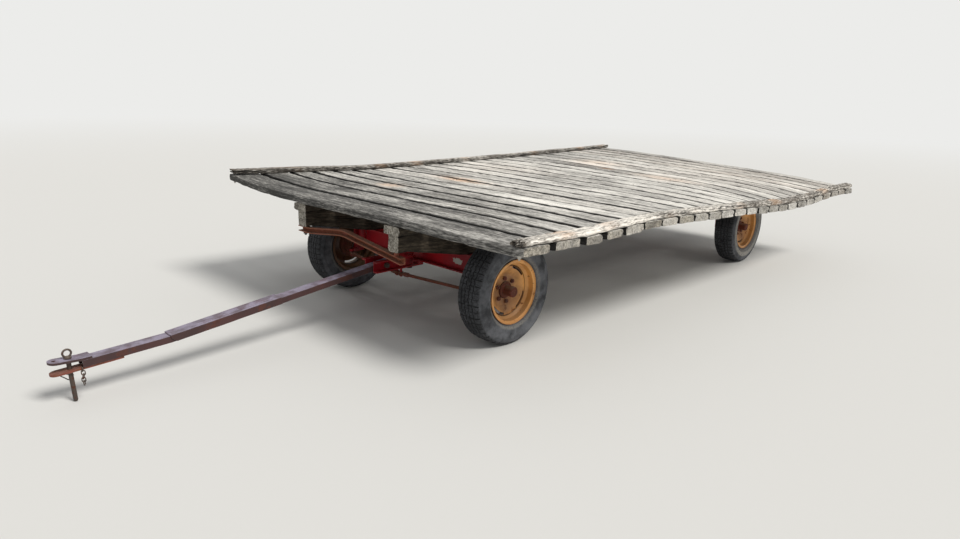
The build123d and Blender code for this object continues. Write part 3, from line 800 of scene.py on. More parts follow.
@dataclass(frozen=True)
class ChippedFinish(MetalFinish):
    """Old paint with one large patch where it has come off."""

    spot: Triple = (0.0, 0.0, 0.0)
    spot_size: Triple = (0.03, 0.055, 0.026)
    bare: Colour = colour(164, 170, 163)

    def marks(self, g: Graph, place: NodeSocket, base: NodeSocket) -> NodeSocket:
        """Colour with the bare patch on it.

        Args:
            g: The material's graph.
            place: Place on the piece.
            base: Colour below the marks.

        Returns:
            The colour.
        """
        away = g.node("VectorMath", {0: place, 1: self.spot}, operation="SUBTRACT").outputs[0]
        reach = g.length(g.stretch(away, tuple(1 / size for size in self.spot_size)))
        ragged = g.scaled(g.noise(place, 60.0, 4.0, 0.6), 1.3, reach)
        tone = g.mix(g.noise(place, 140.0, 3.0), self.bare, self.chip)
        return g.mix(g.ease(ragged, 1.40, 1.52, 1.0, 0.0), base, tone)


@dataclass(frozen=True)
class RimFinish(MetalFinish):
    """Orange wheel paint, browner round the hub and rusty at the flange, with painted shade inside the wheel
    and along the disc's edge in the rim.
    """

    brown: Colour = colour(122, 82, 54)
    # painted shade inside the wheel: its rim well and the faces towards the wagon
    inside: Colour = colour(62, 32, 22)
    joint: Colour = colour(46, 28, 18)
    edge: Colour = colour(132, 74, 40)
    disc_radius: float = 0.190
    joint_radius: float = 0.1625
    joint_height: float = 0.027
    flange_radius: float = 0.2055

    def marks(self, g: Graph, place: NodeSocket, base: NodeSocket) -> NodeSocket:
        """Colour with the rust that follows the wheel's shape.

        Args:
            g: The material's graph.
            place: Place on the piece.
            base: Colour below the marks.

        Returns:
            The colour.
        """
        reach = g.length(g.stretch(place, (1.0, 0.0, 1.0)))
        height = g.node("SeparateXYZ", {0: place}).outputs["Y"]
        cloud = g.noise(place, 13.0, 5.0, 0.62)
        near = g.ease(g.scaled(g.less(cloud, 0.5), -0.16, reach), 0.055, self.disc_radius, 1.0, 0.0)
        base = g.mix(g.times(near, 0.85), base, self.brown)
        # painted shade line where the disc meets the rim, below the disc's crown
        from_joint = g.apart(reach, self.joint_radius)
        low = g.ease(height, self.joint_height, self.joint_height + 0.006, 1.0, 0.0)
        line = g.times(g.ease(from_joint, 0.002, 0.006, 1.0, 0.0), low)
        base = g.mix(g.times(line, 0.85), base, self.joint)
        rim = g.ease(reach, self.flange_radius, self.flange_radius + 0.003)
        base = g.mix(g.times(rim, g.ease(cloud, 0.35, 0.55)), base, self.edge)
        # painted shade in the rim's well behind the disc and on faces that turn towards the wagon
        well = g.times(g.ease(height, 0.012, 0.020, 1.0, 0.0), g.ease(reach, 0.150, 0.158))
        return g.mix(g.times(g.sums("MAXIMUM", well, g.value("back")), 0.9), base, self.inside)


@dataclass(frozen=True)
class RubberFinish(Finish):
    """Worn, dusty and cracked tyre rubber, with painted shade down in the tread's grooves."""

    black: Colour = colour(42, 43, 46)
    grey: Colour = colour(112, 114, 119)
    # near-black of real cracks and of painted shade in the tread's grooves
    crack_and_shade: Colour = colour(16, 16, 16)
    dust: Colour = colour(150, 147, 140)
    tread_radius: float = 0.335
    bead_radius: float = 0.215
    ring_radius: float = 0.262
    ring_amount: float = 0.0

    def material(self, effects: Effects) -> Material:
        """Build the material.

        Args:
            effects: The shared node groups, which rubber doesn't need.

        Returns:
            The material.
        """
        g, surface, made = self.start()
        place = g.place()
        reach = g.length(g.stretch(place, (1.0, 0.0, 1.0)))
        clouds = g.noise(place, 9.0, 6.0, 0.6)
        fine = g.noise(place, 120.0, 5.0, 0.65)
        wall = g.ease(reach, self.tread_radius, self.tread_radius - 0.02)
        worn = g.times(g.ease(clouds, 0.3, 0.7), g.scaled(wall, 0.45, 0.3))
        base = g.mix(worn, self.black, self.grey)
        cells = g.node("TexVoronoi", {"Vector": place, "Scale": 46.0}, feature="DISTANCE_TO_EDGE")
        split = g.ease(cells.outputs["Distance"], 0.0, 0.11, 1.0, 0.0)
        split = g.times(split, g.ease(wall, 0.0, 1.0, 0.8, 0.08))
        # painted shade down in the grooves, lug gaps and cuts, joined with the dark of real cracks
        low = g.sums("MAXIMUM", g.ease(g.value("depth"), 0.0, 0.6), split)
        base = g.mix(g.times(low, 0.9), base, self.crack_and_shade)
        ring = g.ease(g.apart(reach, self.bead_radius + 0.012), 0.0, 0.018, 0.5, 0.0)
        if self.ring_amount:
            worn = g.ease(g.apart(reach, self.ring_radius), 0.012, 0.030, 1.0, 0.0)
            ring = g.sums("MAXIMUM", ring, g.times(worn, self.ring_amount))
        base = g.mix(g.times(ring, g.ease(fine, 0.30, 0.55)), base, self.dust)
        height = g.less(g.times(fine, 0.5), split)
        g.cover(surface, base, 0.85, 0.3, g.bump(height, 0.0016))
        return made


@dataclass
class Finishes:
    """Every material of the wagon."""

    effects: Effects

    def __post_init__(self) -> None:
        """Build the materials."""
        e = self.effects
        self.deck = WoodFinish("deck_planks_grey").material(e)
        self.rail = WoodFinish(
            "rail_timber", colour(240, 235, 226), colour(84, 78, 71),
            cracking=0.9, speckle=2.4, streaks=1.2, edge_shade=0.1, relief=0.010,
        ).material(e)
        self.sill = WoodFinish(
            "sill_timber", colour(112, 101, 86), colour(44, 38, 31), end=colour(204, 199, 188),
            cracking=0.7, edge_shade=0.3, relief=0.005,
        ).material(e)
        self.red = ChippedFinish(
            "gear_red_paint", colour(152, 8, 22), colour(116, 10, 22), rust=colour(84, 26, 22),
            rust_amount=0.20, dust_amount=0.05, shine=0.2, spot=(1.050, 0.409, 0.446),
        ).material(e)
        # the tongue's pale lavender dust on upward faces is partly real dust and partly painted sheen of its
        # lit top
        self.tongue = MetalFinish(
            "tongue_brown_paint", colour(70, 43, 42), colour(56, 38, 38),
            rust=colour(96, 57, 47), rust_dark=colour(46, 29, 29),
            chip=colour(136, 130, 134), dust=colour(158, 152, 172),
            rust_amount=0.50, rust_scale=9.0, dust_amount=0.75, gloss=0.5,
        ).material(e)
        self.bar = MetalFinish(
            "arched_bar_rust", colour(140, 78, 60), colour(120, 62, 46),
            rust=colour(150, 86, 58), rust_dark=colour(84, 44, 30),
            chip=colour(170, 130, 104), rust_amount=0.75, rust_scale=14.0, gloss=0.7,
        ).material(e)
        self.hitch = MetalFinish(
            "hitch_rust", colour(108, 48, 34), colour(92, 52, 42),
            rust=colour(118, 62, 40), rust_dark=colour(52, 28, 22),
            rust_amount=0.7, rust_scale=18.0, gloss=0.65,
        ).material(e)
        self.strap = MetalFinish(
            "lower_strap_rust", colour(134, 74, 58), colour(112, 60, 48),
            rust=colour(138, 86, 62), rust_dark=colour(76, 36, 28),
            rust_amount=0.6, rust_scale=18.0, dust_amount=0.15, gloss=0.6,
        ).material(e)
        self.zinc = MetalFinish(
            "bolt_zinc", colour(196, 192, 182), colour(160, 156, 148), rust=colour(120, 92, 70),
            rust_amount=0.25, rust_scale=60.0, gloss=0.4,
        ).material(e)
        self.steel = MetalFinish(
            "greasy_steel", colour(58, 50, 46), colour(74, 62, 54),
            rust=colour(96, 58, 40), chip=colour(120, 114, 108),
            rust_amount=0.45, rust_scale=20.0, gloss=0.5,
        ).material(e)
        self.rim = RimFinish(
            "rim_orange_paint", colour(228, 168, 96), colour(192, 136, 76),
            rust=colour(134, 82, 44), rust_dark=colour(82, 46, 26),
            chip=colour(112, 62, 36), dust=colour(176, 158, 130),
            rust_amount=0.36, rust_scale=16.0, chip_amount=0.9, gloss=0.42, own_place=True,
        ).material(e)
        self.hub = MetalFinish(
            "hub_dark_rust", colour(104, 46, 34), colour(78, 36, 28),
            rust=colour(116, 60, 40), rust_dark=colour(48, 26, 20),
            rust_amount=0.75, rust_scale=22.0, gloss=0.6, own_place=True,
        ).material(e)
        self.rubber = RubberFinish("worn_rubber").material(e)
        self.rubber_ringed = RubberFinish("worn_rubber_pale_ring", ring_amount=0.85).material(e)
        self.nail = MetalFinish(
            "nail_heads", colour(66, 56, 50), colour(120, 108, 98), rust=colour(96, 62, 44),
            rust_amount=0.5, rust_scale=30.0,
        ).material(e)


# Timber


@dataclass(frozen=True)
class Timber:
    """One sawn timber, swept along its length with rough faces, worn corners and uneven ends."""

    seed: float
    wide_steps: int = 8
    high_steps: int = 3
    corner_steps: int = 2
    rounding: float = 0.006
    unevenness: float = 0.0012
    fine: float = 0.0005
    chew: float = 0.004
    ragged: Pair = (0.004, 0.004)
    sawn: Pair = (1.0, 1.0)
    # share of painted shade on the faces across + and across −
    shaded: Pair = (0.0, 0.0)
    pith: Pair = (0.03, -0.09)
    swell_size: float = 0.16
    fine_size: float = 0.02
    chew_size: float = 0.05
    torn_size: float = 0.02
    splinter_size: float = 0.007
    torn_reach: float = 0.03
    end_shares: tuple[float, ...] = (0.3, 0.6, 0.86)
    end_edge: float = 0.985
    end_lift: float = 0.0004

    def outline(self, half_width: float, half_height: float) -> tuple[np.ndarray, np.ndarray, np.ndarray]:
        """Points round the section.

        Args:
            half_width: Half of its width there.
            half_height: Half of its height there.

        Returns:
            The points, across and up, how far each is on a corner, and how shaded its side is.
        """
        r = self.rounding
        inner = (half_width - r, half_height - r)
        corners = ((1, 1), (-1, 1), (-1, -1), (1, -1))
        points, edge, side = [], [], []
        for number, (sx, sy) in enumerate(corners):
            for k in range(self.corner_steps + 1):
                angle = math.pi / 2 * (number + k / self.corner_steps)
                points.append((sx * inner[0] + r * math.cos(angle), sy * inner[1] + r * math.sin(angle)))
                edge.append(1.0)
                side.append(math.cos(angle) * abs(math.cos(angle)))
            steps = self.wide_steps if number in (0, 2) else self.high_steps
            nx, ny = corners[(number + 1) % 4]
            angle = math.pi / 2 * (number + 1)
            a = np.array(points[-1])
            b = np.array((nx * inner[0] + r * math.cos(angle), ny * inner[1] + r * math.sin(angle)))
            for k in range(1, steps):
                points.append(tuple(a + (b - a) * k / steps))
                edge.append(0.0)
                side.append(float(round(math.cos(angle))))
        sides = np.array(side)
        shade = np.where(sides > 0, sides * self.shaded[0], -sides * self.shaded[1])
        return np.array(points), np.array(edge), shade

    def sweep(
        self, centres: np.ndarray, across: Any, up: Any, half_width: Any, half_height: np.ndarray
    ) -> tuple[Shape, np.ndarray]:
        """Build the timber.

        Args:
            centres: Middle of the section at each station.
            across: Way across, one for all stations or one for each.
            up: Way up, likewise.
            half_width: Half of its width, likewise.
            half_height: Half of its height at each station.

        Returns:
            The timber's shape, and how far along it each point is.
        """
        across, up = (np.broadcast_to(way, centres.shape) for way in (across, up))
        half_width = np.broadcast_to(half_width, (len(centres),))
        runs = unit(np.gradient(centres, axis=0))
        steps = np.linalg.norm(np.diff(centres, axis=0), axis=1)
        along = np.concatenate([[0.0], np.cumsum(steps)])
        rings = []

        def ring(i: int, share: float, sink: float, end: float) -> None:
            """Add one ring of points.

            Args:
                i: Number of its station.
                share: Its size as a share of the section.
                sink: How far it is pushed along the timber.
                end: 1 on an end's flat face, 0 on the sides.
            """
            outline, edge, shade = self.outline(half_width[i], half_height[i])
            flat = outline * share
            base = centres[i] + np.outer(flat[:, 0], across[i]) + np.outer(flat[:, 1], up[i])
            limit = np.array([half_width[i], half_height[i]]) - self.rounding
            out = (outline - np.clip(outline, -limit, limit)) / self.rounding
            way = np.outer(out[:, 0], across[i]) + np.outer(out[:, 1], up[i])
            swell = self.unevenness * bumps(base, self.swell_size, self.seed)
            swell += self.fine * bumps(base, self.fine_size, self.seed + 1)
            bite = self.chew * edge * np.clip(0.35 + bumps(base, self.chew_size, self.seed + 2), 0, 1)
            base = base + way * ((swell - bite) * share)[:, None]
            near = [math.exp(-(gone / self.torn_reach)) for gone in (along[i], along[-1] - along[i])]
            tear = bumps(base, self.torn_size, self.seed + 3)
            tear += 0.6 * bumps(base, self.splinter_size, self.seed + 4)
            tear = np.clip(tear + 0.6, 0.1, None)
            push = (self.ragged[0] * near[0] - self.ragged[1] * near[1]) * tear
            points = base + np.outer(push + sink, runs[i])
            level = np.ones(len(flat))
            place = np.column_stack([level * (along[i] + 7.31 * self.seed), flat - self.pith])
            cut = level * end * self.sawn[0 if i == 0 else 1]
            rings.append((points, place, edge * (1 - end), cut, shade * (1 - end), level * along[i]))

        last = len(centres) - 1
        for share in self.end_shares:
            ring(0, share, 0.0, 1.0)
        ring(0, self.end_edge, -self.end_lift, 1.0)
        for i in range(len(centres)):
            ring(i, 1.0, 0.0, 0.0)
        ring(last, self.end_edge, self.end_lift, 1.0)
        for share in reversed(self.end_shares):
            ring(last, share, 0.0, 1.0)
        points, place, edge, cut, side, ways = (np.concatenate(part) for part in zip(*rings))
        shape = Shape()
        values = {"place": place, "edge": edge, "end": cut, "side": side}
        shape.add(points, closed_faces(len(rings), len(rings[0][0])), values)
        return shape, ways


@dataclass(frozen=True)
class WarpRow:
    """Height of the deck's two edges over its middle, at one place along the wagon."""

    behind_front: float
    left: float
    right: float


@dataclass(frozen=True)
class WornPatch:
    """Place on the deck where the planks are paler or warmer."""

    x: float
    y: float
    length: float
    width: float
    pale: float
    tan: float


@dataclass
class Deck:
    """Plank deck, its edge rails and the timbers below it."""

    finishes: Finishes
    wide_planks: int = 2
    wide_plank: float = 0.2525
    narrow_planks: int = 22
    narrow_plank: float = 0.200
    gap: float = 0.008
    thickness: float = 0.050
    bend_start: float = 0.580
    twist_start: float = 0.950
    twist_slope: float = 0.05
    cap_gap: float = 0.0009
    rail_width: float = 0.080
    rail_height: float = 0.043
    rail_gap: float = 0.0009
    rail_inset: float = 0.007
    split_length: float = 0.36
    split_rise: float = 0.012
    split_gape: float = 0.018
    worn_tip: float = 0.016
    worn_tip_reach: float = 0.022
    splinter_end: float = 0.005
    splinter_grows: float = 0.010
    rail_tone: float = 0.66
    sill_tone: float = 0.26
    end_gap: float = 0.001
    taper_start: float = 0.563
    taper_landing: float = 0.075
    tip_bottom: float = 0.6153
    worn_side: float = 0.0065
    open_planks: int = 4
    open_end: float = 0.017
    open_reach: float = 0.07
    notch_inset: float = 0.108
    notch_half: float = 0.045
    nail_radius: float = 0.0055
    nail_height: float = 0.0020
    nail_sink: float = 0.002
    nail_scatter: float = 0.012
    # the front planks are darkened by a painted shadow that lifts over the first few planks and lies deepest
    # at their right ends
    front_tone: float = 0.12
    rear_tone: float = 0.42
    front_shadow_planks: float = 4.5
    greyest_plank: int = 12
    greyest_loss: float = 0.13
    cloud_tone: float = 0.12
    cloud_size: float = 0.30
    side_shadow: float = 0.10
    end_shade: float = 0.30
    end_shade_reach: float = 0.02
    shaded_after: int = 5
    shaded_over: int = 8
    warp: tuple[WarpRow, ...] = (
        WarpRow(0.000, -0.003, 0.046),
        WarpRow(0.650, -0.018, 0.030),
        WarpRow(1.250, -0.007, 0.006),
        WarpRow(1.750, -0.025, 0.006),
        WarpRow(2.600, -0.071, 0.015),
        WarpRow(3.430, -0.122, 0.026),
        WarpRow(4.050, -0.126, 0.036),
        WarpRow(4.550, -0.105, 0.046),
        WarpRow(5.089, -0.114, 0.058),
    )
    patches: tuple[WornPatch, ...] = (
        WornPatch(0.843, -0.578, 0.08, 0.10, 0.22, 0.8),
        WornPatch(0.160, -0.480, 0.08, 0.24, 0.20, 1.0),
        WornPatch(-1.945, -0.580, 0.22, 0.25, 0.35, 0.5),
        WornPatch(-1.680, -0.270, 0.05, 0.07, -0.35, 0.7),
        WornPatch(-1.600, 0.410, 0.14, 0.28, 0.25, 0.5),
        WornPatch(0.520, 0.640, 0.15, 0.42, 0.35, 0.0),
        WornPatch(-0.700, -0.900, 0.45, 0.50, 0.15, 0.1),
        WornPatch(-2.300, 0.500, 0.60, 0.70, 0.12, 0.1),
    )

    def __post_init__(self) -> None:
        """Read the deck's place from the frame."""
        low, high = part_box("deck_planks")
        self.front = high.x
        self.rear = low.x
        self.half_width = high.y
        self.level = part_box("sill_cap_left")[1].z + self.thickness + self.cap_gap
        self.run = self.half_width - self.bend_start

    def edge_heights(self, x: np.ndarray) -> tuple[np.ndarray, np.ndarray]:
        """Heights of the deck's edges.

        Args:
            x: Places along the wagon.

        Returns:
            Heights of the left and of the right edge over the deck's middle.
        """
        behind = self.front - np.asarray(x, float)
        rows = [row.behind_front for row in self.warp]
        left = np.interp(behind, rows, [row.left for row in self.warp])
        right = np.interp(behind, rows, [row.right for row in self.warp])
        return left, right

    def tilt(self, x: np.ndarray) -> np.ndarray:
        """Slope of the planks' middles, falling to the left towards the rear."""
        behind = self.front - np.asarray(x, float)
        length = self.front - self.rear - self.twist_start
        return self.twist_slope * np.clip((behind - self.twist_start) / length, 0, 1)

    def rise(self, x: np.ndarray | float, y: np.ndarray | float) -> np.ndarray:
        """Height of the bent and twisted deck over its middle.

        Args:
            x: Places along the wagon.
            y: Places across it.

        Returns:
            The heights.
        """
        left, right = self.edge_heights(x)
        tilt = self.tilt(x)
        share = np.clip(np.abs(y) - self.bend_start, 0, None) / self.run
        end = np.where(np.asarray(y) > 0, left, right) + np.sign(y) * tilt * self.half_width
        return end * share**2 - tilt * y

    def plank_places(self) -> list[Pair]:
        """Places of the planks.

        Returns:
            Middle and width of each plank, from the front.
        """
        made = []
        front = self.front
        for width in [self.wide_plank] * self.wide_planks + [self.narrow_plank] * self.narrow_planks:
            made.append((front - width / 2, width))
            front -= width + self.gap
        return made

    def worn_width(self, number: int, y: np.ndarray, luck: random.Random) -> np.ndarray:
        """How far each side of a plank is worn back along it.

        Args:
            number: Number of the plank from the front.
            y: Places across the wagon.
            luck: Source of the plank's own numbers.

        Returns:
            The worn width at each place, for one side.
        """
        start = luck.uniform(0, math.tau)
        worn = 0.0015 * np.sin(y * 3.1 + start) + 0.0010 * np.sin(y * 8.7 + 2 * start)
        worn += self.worn_side if number < self.open_planks + 2 else luck.uniform(0.0025, self.worn_side)
        opened = self.open_end if number < self.open_planks else luck.uniform(0.0, 0.004)
        worn += opened * np.clip(1 - (self.half_width - y) / self.open_reach, 0, 1) ** 0.7
        notch = np.clip(1 - np.abs(self.half_width + y - self.notch_inset) / self.notch_half, 0, 1)
        worn += luck.uniform(0.008, 0.014) * notch * notch * (3 - 2 * notch)
        return worn

    def planks(self) -> None:
        """Build the planks, with stations that are closer together at their ends."""
        torn = [0.0, 0.002, 0.006, 0.015, 0.028, 0.042, 0.056, 0.070, 0.085]
        edge = np.array([*torn, 0.100, 0.115, 0.130, 0.145, 0.160, 0.185])
        middle = np.linspace(0.22, 2 * self.half_width - 0.22, 56)
        way = np.concatenate([edge, middle, 2 * self.half_width - edge[::-1]])
        for number, (x, width) in enumerate(self.plank_places()):
            self._plank(number, x, width, way)

    def _plank(self, number: int, x: float, width: float, way: np.ndarray) -> None:
        """Build one plank with its own bend, wear and tone.

        Args:
            number: Number of the plank from the front.
            x: Place of its middle.
            width: Its width.
            way: Distances of its stations from the left end.
        """
        count = self.wide_planks + self.narrow_planks
        luck = random.Random(100 + number)
        short = (luck.uniform(0.002, 0.009), luck.uniform(0.002, 0.011))
        y = self.half_width - short[0] - way * (2 * self.half_width - sum(short)) / (2 * self.half_width)
        step = luck.uniform(-0.0024, -0.0004)
        worn_end = luck.uniform(0.0, 0.007) * np.exp(-way / 0.03)
        z = self.level - self.thickness / 2 + step + self.rise(x, y) + worn_end / 2
        centres = np.column_stack([np.full(len(y), x), y, z])
        plumb = np.clip(np.minimum(way, way[-1] - way) / 0.08, 0, 1)
        up = unit(np.column_stack([np.zeros(len(y)), -np.gradient(z, y) * plumb, np.ones(len(y))]))
        # plank sides get full painted shade so the gaps read dark; the deck's front and rear faces get less
        timber = Timber(
            number + 1, rounding=0.008, unevenness=0.0016, fine=0.0006, chew=0.005, ragged=(0.006, 0.006),
            shaded=(0.3 if number == 0 else 1.0, 0.3 if number == count - 1 else 1.0),
            pith=(luck.uniform(-0.05, 0.05), luck.choice((-1, 1)) * luck.uniform(0.05, 0.16)),
        )
        half_width = width / 2 - self.worn_width(number, y, luck)
        half_height = (self.thickness - worn_end) / 2
        shape, _ = timber.sweep(centres, (1.0, 0.0, 0.0), up, half_width, half_height)
        points = shape.points[0]
        points[:, 2] += self.rise(points[:, 0], points[:, 1]) - self.rise(x, points[:, 1])
        self._tone(shape, number, luck)
        # painted shade along the plank's corners: full on the front planks, a random share further back, none
        # on the deck's front and rear edges
        gap_shade = [1.0 if number < self.open_planks + 2 else luck.uniform(0.55, 0.95) for _ in range(2)]
        gap_shade[0] *= number > 0
        gap_shade[1] *= number < count - 1
        shape.values["edge"] = [shape.values["edge"][0] * np.where(points[:, 0] > x, *gap_shade)]
        name = f"deck_plank_{number + 1:02d}"
        self._finish(name, shape, self.finishes.deck, "deck_planks")

    def _finish(self, name: str, shape: Shape, look: Material, node: str) -> None:
        """Put one timber into the scene in place of its CAD node."""
        finish_piece(name, shape, look, Body.CHASSIS.value, (node,), 60.0)

    def _tone(self, shape: Shape, number: int, luck: random.Random) -> None:
        """Give a plank its tone: a painted shadow over the front planks, deepest at their right ends, worn
        patches, and painted shade near the ends of the rear planks.

        Args:
            shape: The plank.
            number: Its number from the front.
            luck: Source of its own numbers.
        """
        points = shape.points[0]
        last = self.wide_planks + self.narrow_planks - 1
        # painted shadow on the front planks, lifting plank by plank
        share = min(number / self.front_shadow_planks, 1.0)
        loss = self.greyest_loss * max(0.0, (number - self.greyest_plank) / (last - self.greyest_plank))
        base = self.front_tone + self.rear_tone * share - loss + luck.uniform(-0.07, 0.07)
        tone = base + self.cloud_tone * bumps(points * (1.0, 0.25, 1.0), self.cloud_size, number + 0.5)
        # painted shadow across the plank: its right end darker, most on the front planks
        tone += self.side_shadow * (1 - 0.7 * share) * points[:, 1] / self.half_width
        tan = np.full(len(points), max(0.0, luck.uniform(-0.18, 0.10)))
        for patch in self.patches:
            along, aside = (points[:, 0] - patch.x) / patch.length, (points[:, 1] - patch.y) / patch.width
            near = np.exp(-(along**2 + aside**2))
            tone += patch.pale * near
            tan += patch.tan * near
        # painted shade near the ends of the rear planks, also on their sawn ends
        shade = min(1.0, max(0.0, (number - self.shaded_after) / self.shaded_over))
        from_end = self.half_width - np.abs(points[:, 1])
        tone -= self.end_shade * shade * np.clip(1 - from_end / self.end_shade_reach, 0, 1)
        sawn = shape.values["end"][0] * luck.uniform(0.35, 1.0) * (1 - 0.55 * shade)
        shape.values.update({"tone": [tone], "tan": [tan], "end": [sawn]})

    def nails(self) -> None:
        """Build the nail heads over the sills."""
        luck = random.Random(7)
        shape = Shape()
        low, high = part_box("sill_left")
        rows = ((low.y + 0.03, 0.25), (high.y - 0.02, -0.28), (low.y + 0.06, -0.05))
        for x, width in self.plank_places():
            for side in Side:
                for y, share in rows:
                    at_x = x + width * share + luck.uniform(-self.nail_scatter, self.nail_scatter)
                    at_y = side.value * (y + luck.uniform(-self.nail_scatter, self.nail_scatter))
                    z = self.level - self.nail_sink + float(self.rise(at_x, at_y))
                    shape.dome((at_x, at_y, z), (0, 0, 1), self.nail_radius, self.nail_height)
        finish_piece("deck_nails", shape, self.finishes.nail, Body.CHASSIS.value)

    def rail(self, side: Side) -> None:
        """Build one edge rail; the right one is split and lifted at its front end.

        Args:
            side: Side of the wagon.
        """
        length = self.front - self.rear - 2 * self.end_gap
        ends = np.array([0.0, 0.004, 0.010, 0.018, 0.030, 0.045, 0.065])
        way = np.concatenate([ends, np.linspace(0.09, length - 0.09, 130), length - ends[::-1]])
        if side is Side.LEFT:
            drop = self.worn_tip * np.exp(-way / self.worn_tip_reach)
            self._rail_layer(side, way, np.zeros(len(way)), self.rail_height - drop, "", (0.030, 0.008))
            return
        lift = (self.split_rise + self.split_gape) * np.clip(1 - way / self.split_length, 0, 1)
        self._rail_layer(side, way, lift, self.rail_height - lift, "", (0.012, 0.008))
        near = np.linspace(0.004, self.split_length + 0.02, 26)
        rest = np.clip(1 - near / self.split_length, 0, 1)
        thin = self.splinter_end + self.splinter_grows * rest
        self._rail_layer(side, near, self.split_rise * rest, thin, "_splinter", (0.016, 0.004))

    def _rail_layer(
        self, side: Side, way: np.ndarray, lift: np.ndarray, height: np.ndarray, part: str, ragged: Pair
    ) -> None:
        """Build one length of an edge rail.

        Args:
            side: Side of the wagon.
            way: Distances of its stations from the deck's front.
            lift: Height of its underside over the planks at each station.
            height: Height of the timber at each station.
            part: What its name ends with.
            ragged: How torn its front and its rear end are.
        """
        sign = side.value
        x = self.front - self.end_gap - way
        outer = self.rise(x, sign * self.half_width)
        inner = self.rise(x, sign * (self.half_width - self.rail_width))
        wander = 0.0025 * np.sin(way * 2.1 + sign) + 0.0010 * np.sin(way * 5.3)
        y = sign * (self.half_width - self.rail_width / 2 - self.rail_inset + wander)
        tall = height - np.minimum(0.25 * height, 0.0045 + 0.003 * (0.5 + 0.5 * np.sin(way * 3.3 + 2 * sign)))
        z = self.level + self.rail_gap + (outer + inner) / 2 + lift + tall / 2
        centres = np.column_stack([x, y, z])
        tilt = (outer - inner) / self.rail_width * sign
        up = unit(np.column_stack([np.zeros(len(x)), -tilt, np.ones(len(x))]))
        across = np.column_stack([np.zeros(len(x)), up[:, 2], -up[:, 1]])
        # the right rail's inner side gets painted shade
        timber = Timber(
            40 + sign, wide_steps=7, high_steps=4, corner_steps=3, unevenness=0.0026, fine=0.0022, chew=0.009,
            rounding=float(min(0.011, 0.4 * tall.min())), ragged=ragged, sawn=(0.0, 0.5),
            shaded=(0.0 if side is Side.LEFT else 0.6, 0.0), pith=(0.01, -0.03),
        )
        shape, along = timber.sweep(centres, across, up, self.rail_width / 2 - 0.002, tall / 2)
        points = shape.points[0]
        tone = self.rail_tone + 0.16 * bumps(points, 0.30, 60 + sign)
        if side is Side.LEFT:
            tone -= 0.60 * np.exp(-along / 0.06) + 0.36 * np.clip((along - 1.1) / 1.6, 0, 1)
        else:
            # painted shadow: the right rail is darker all along and darkest towards its front
            tone -= 0.20 + 0.42 * np.exp(-along / 1.9)
        tan = np.clip(1.2 * bumps(points, 0.22, 63 + sign) - 0.25, 0, 0.6)
        shape.values.update({"tone": [tone], "tan": [tan]})
        name = f"edge_rail_{side.word}{part}"
        self._finish(name, shape, self.finishes.rail, "rail_" + side.word)

    def timber_under(self, node: str, seed: float, is_cap: bool) -> None:
        """Build a sill or the flat timber on it.

        Args:
            node: CAD node that it stands for.
            seed: Number that picks its roughness.
            is_cap: Whether it is the flat timber, whose top follows the planks' twist.
        """
        low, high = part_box(node)
        middle = (low.y + high.y) / 2
        ends = np.array([0.0, 0.002, 0.008, 0.02, 0.05])
        length = high.x - low.x - 2 * self.end_gap
        way = np.concatenate([ends, np.linspace(0.09, length - 0.09, 90), length - ends[::-1]])
        x = high.x - self.end_gap - way
        bottom = np.full(len(x), low.z)
        top = np.full(len(x), high.z)
        if is_cap:
            top = self.level - self.thickness - self.cap_gap - self.tilt(x) * middle
        else:
            share = np.clip((self.taper_start - way) / (self.taper_start - self.taper_landing), 0, 1)
            bottom = low.z + (self.tip_bottom - low.z) * share
        centres = np.column_stack([x, np.full(len(x), middle), (bottom + top) / 2])
        timber = Timber(
            seed, wide_steps=6, high_steps=6, rounding=0.007, unevenness=0.0016, fine=0.0009, chew=0.006,
            pith=(0.02, -0.05),
        )
        half_width, half_height = (high.y - low.y) / 2 - 0.003, (top - bottom) / 2 - 0.0004
        shape, _ = timber.sweep(centres, (0.0, 1.0, 0.0), (0.0, 0.0, 1.0), half_width, half_height)
        points = shape.points[0]
        if is_cap:
            tops = self.level - self.thickness - self.tilt(points[:, 0]) * middle
            share = np.clip((points[:, 2] - low.z) / (tops - low.z), 0, 1)
            points[:, 2] -= self.tilt(points[:, 0]) * (points[:, 1] - middle) * share
        tone = self.sill_tone + 0.2 * bumps(points, 0.4, seed + 5)
        shape.values.update({"tone": [tone], "tan": [np.zeros(len(points))]})
        self._finish(node + "_timber", shape, self.finishes.sill, node)

    def build(self) -> None:
        """Build the whole deck."""
        self.planks()
        self.nails()
        for side in Side:
            self.rail(side)
            self.timber_under("sill_" + side.word, 70 + side.value, is_cap=False)
            self.timber_under("sill_cap_" + side.word, 80 + side.value, is_cap=True)


# Wheels


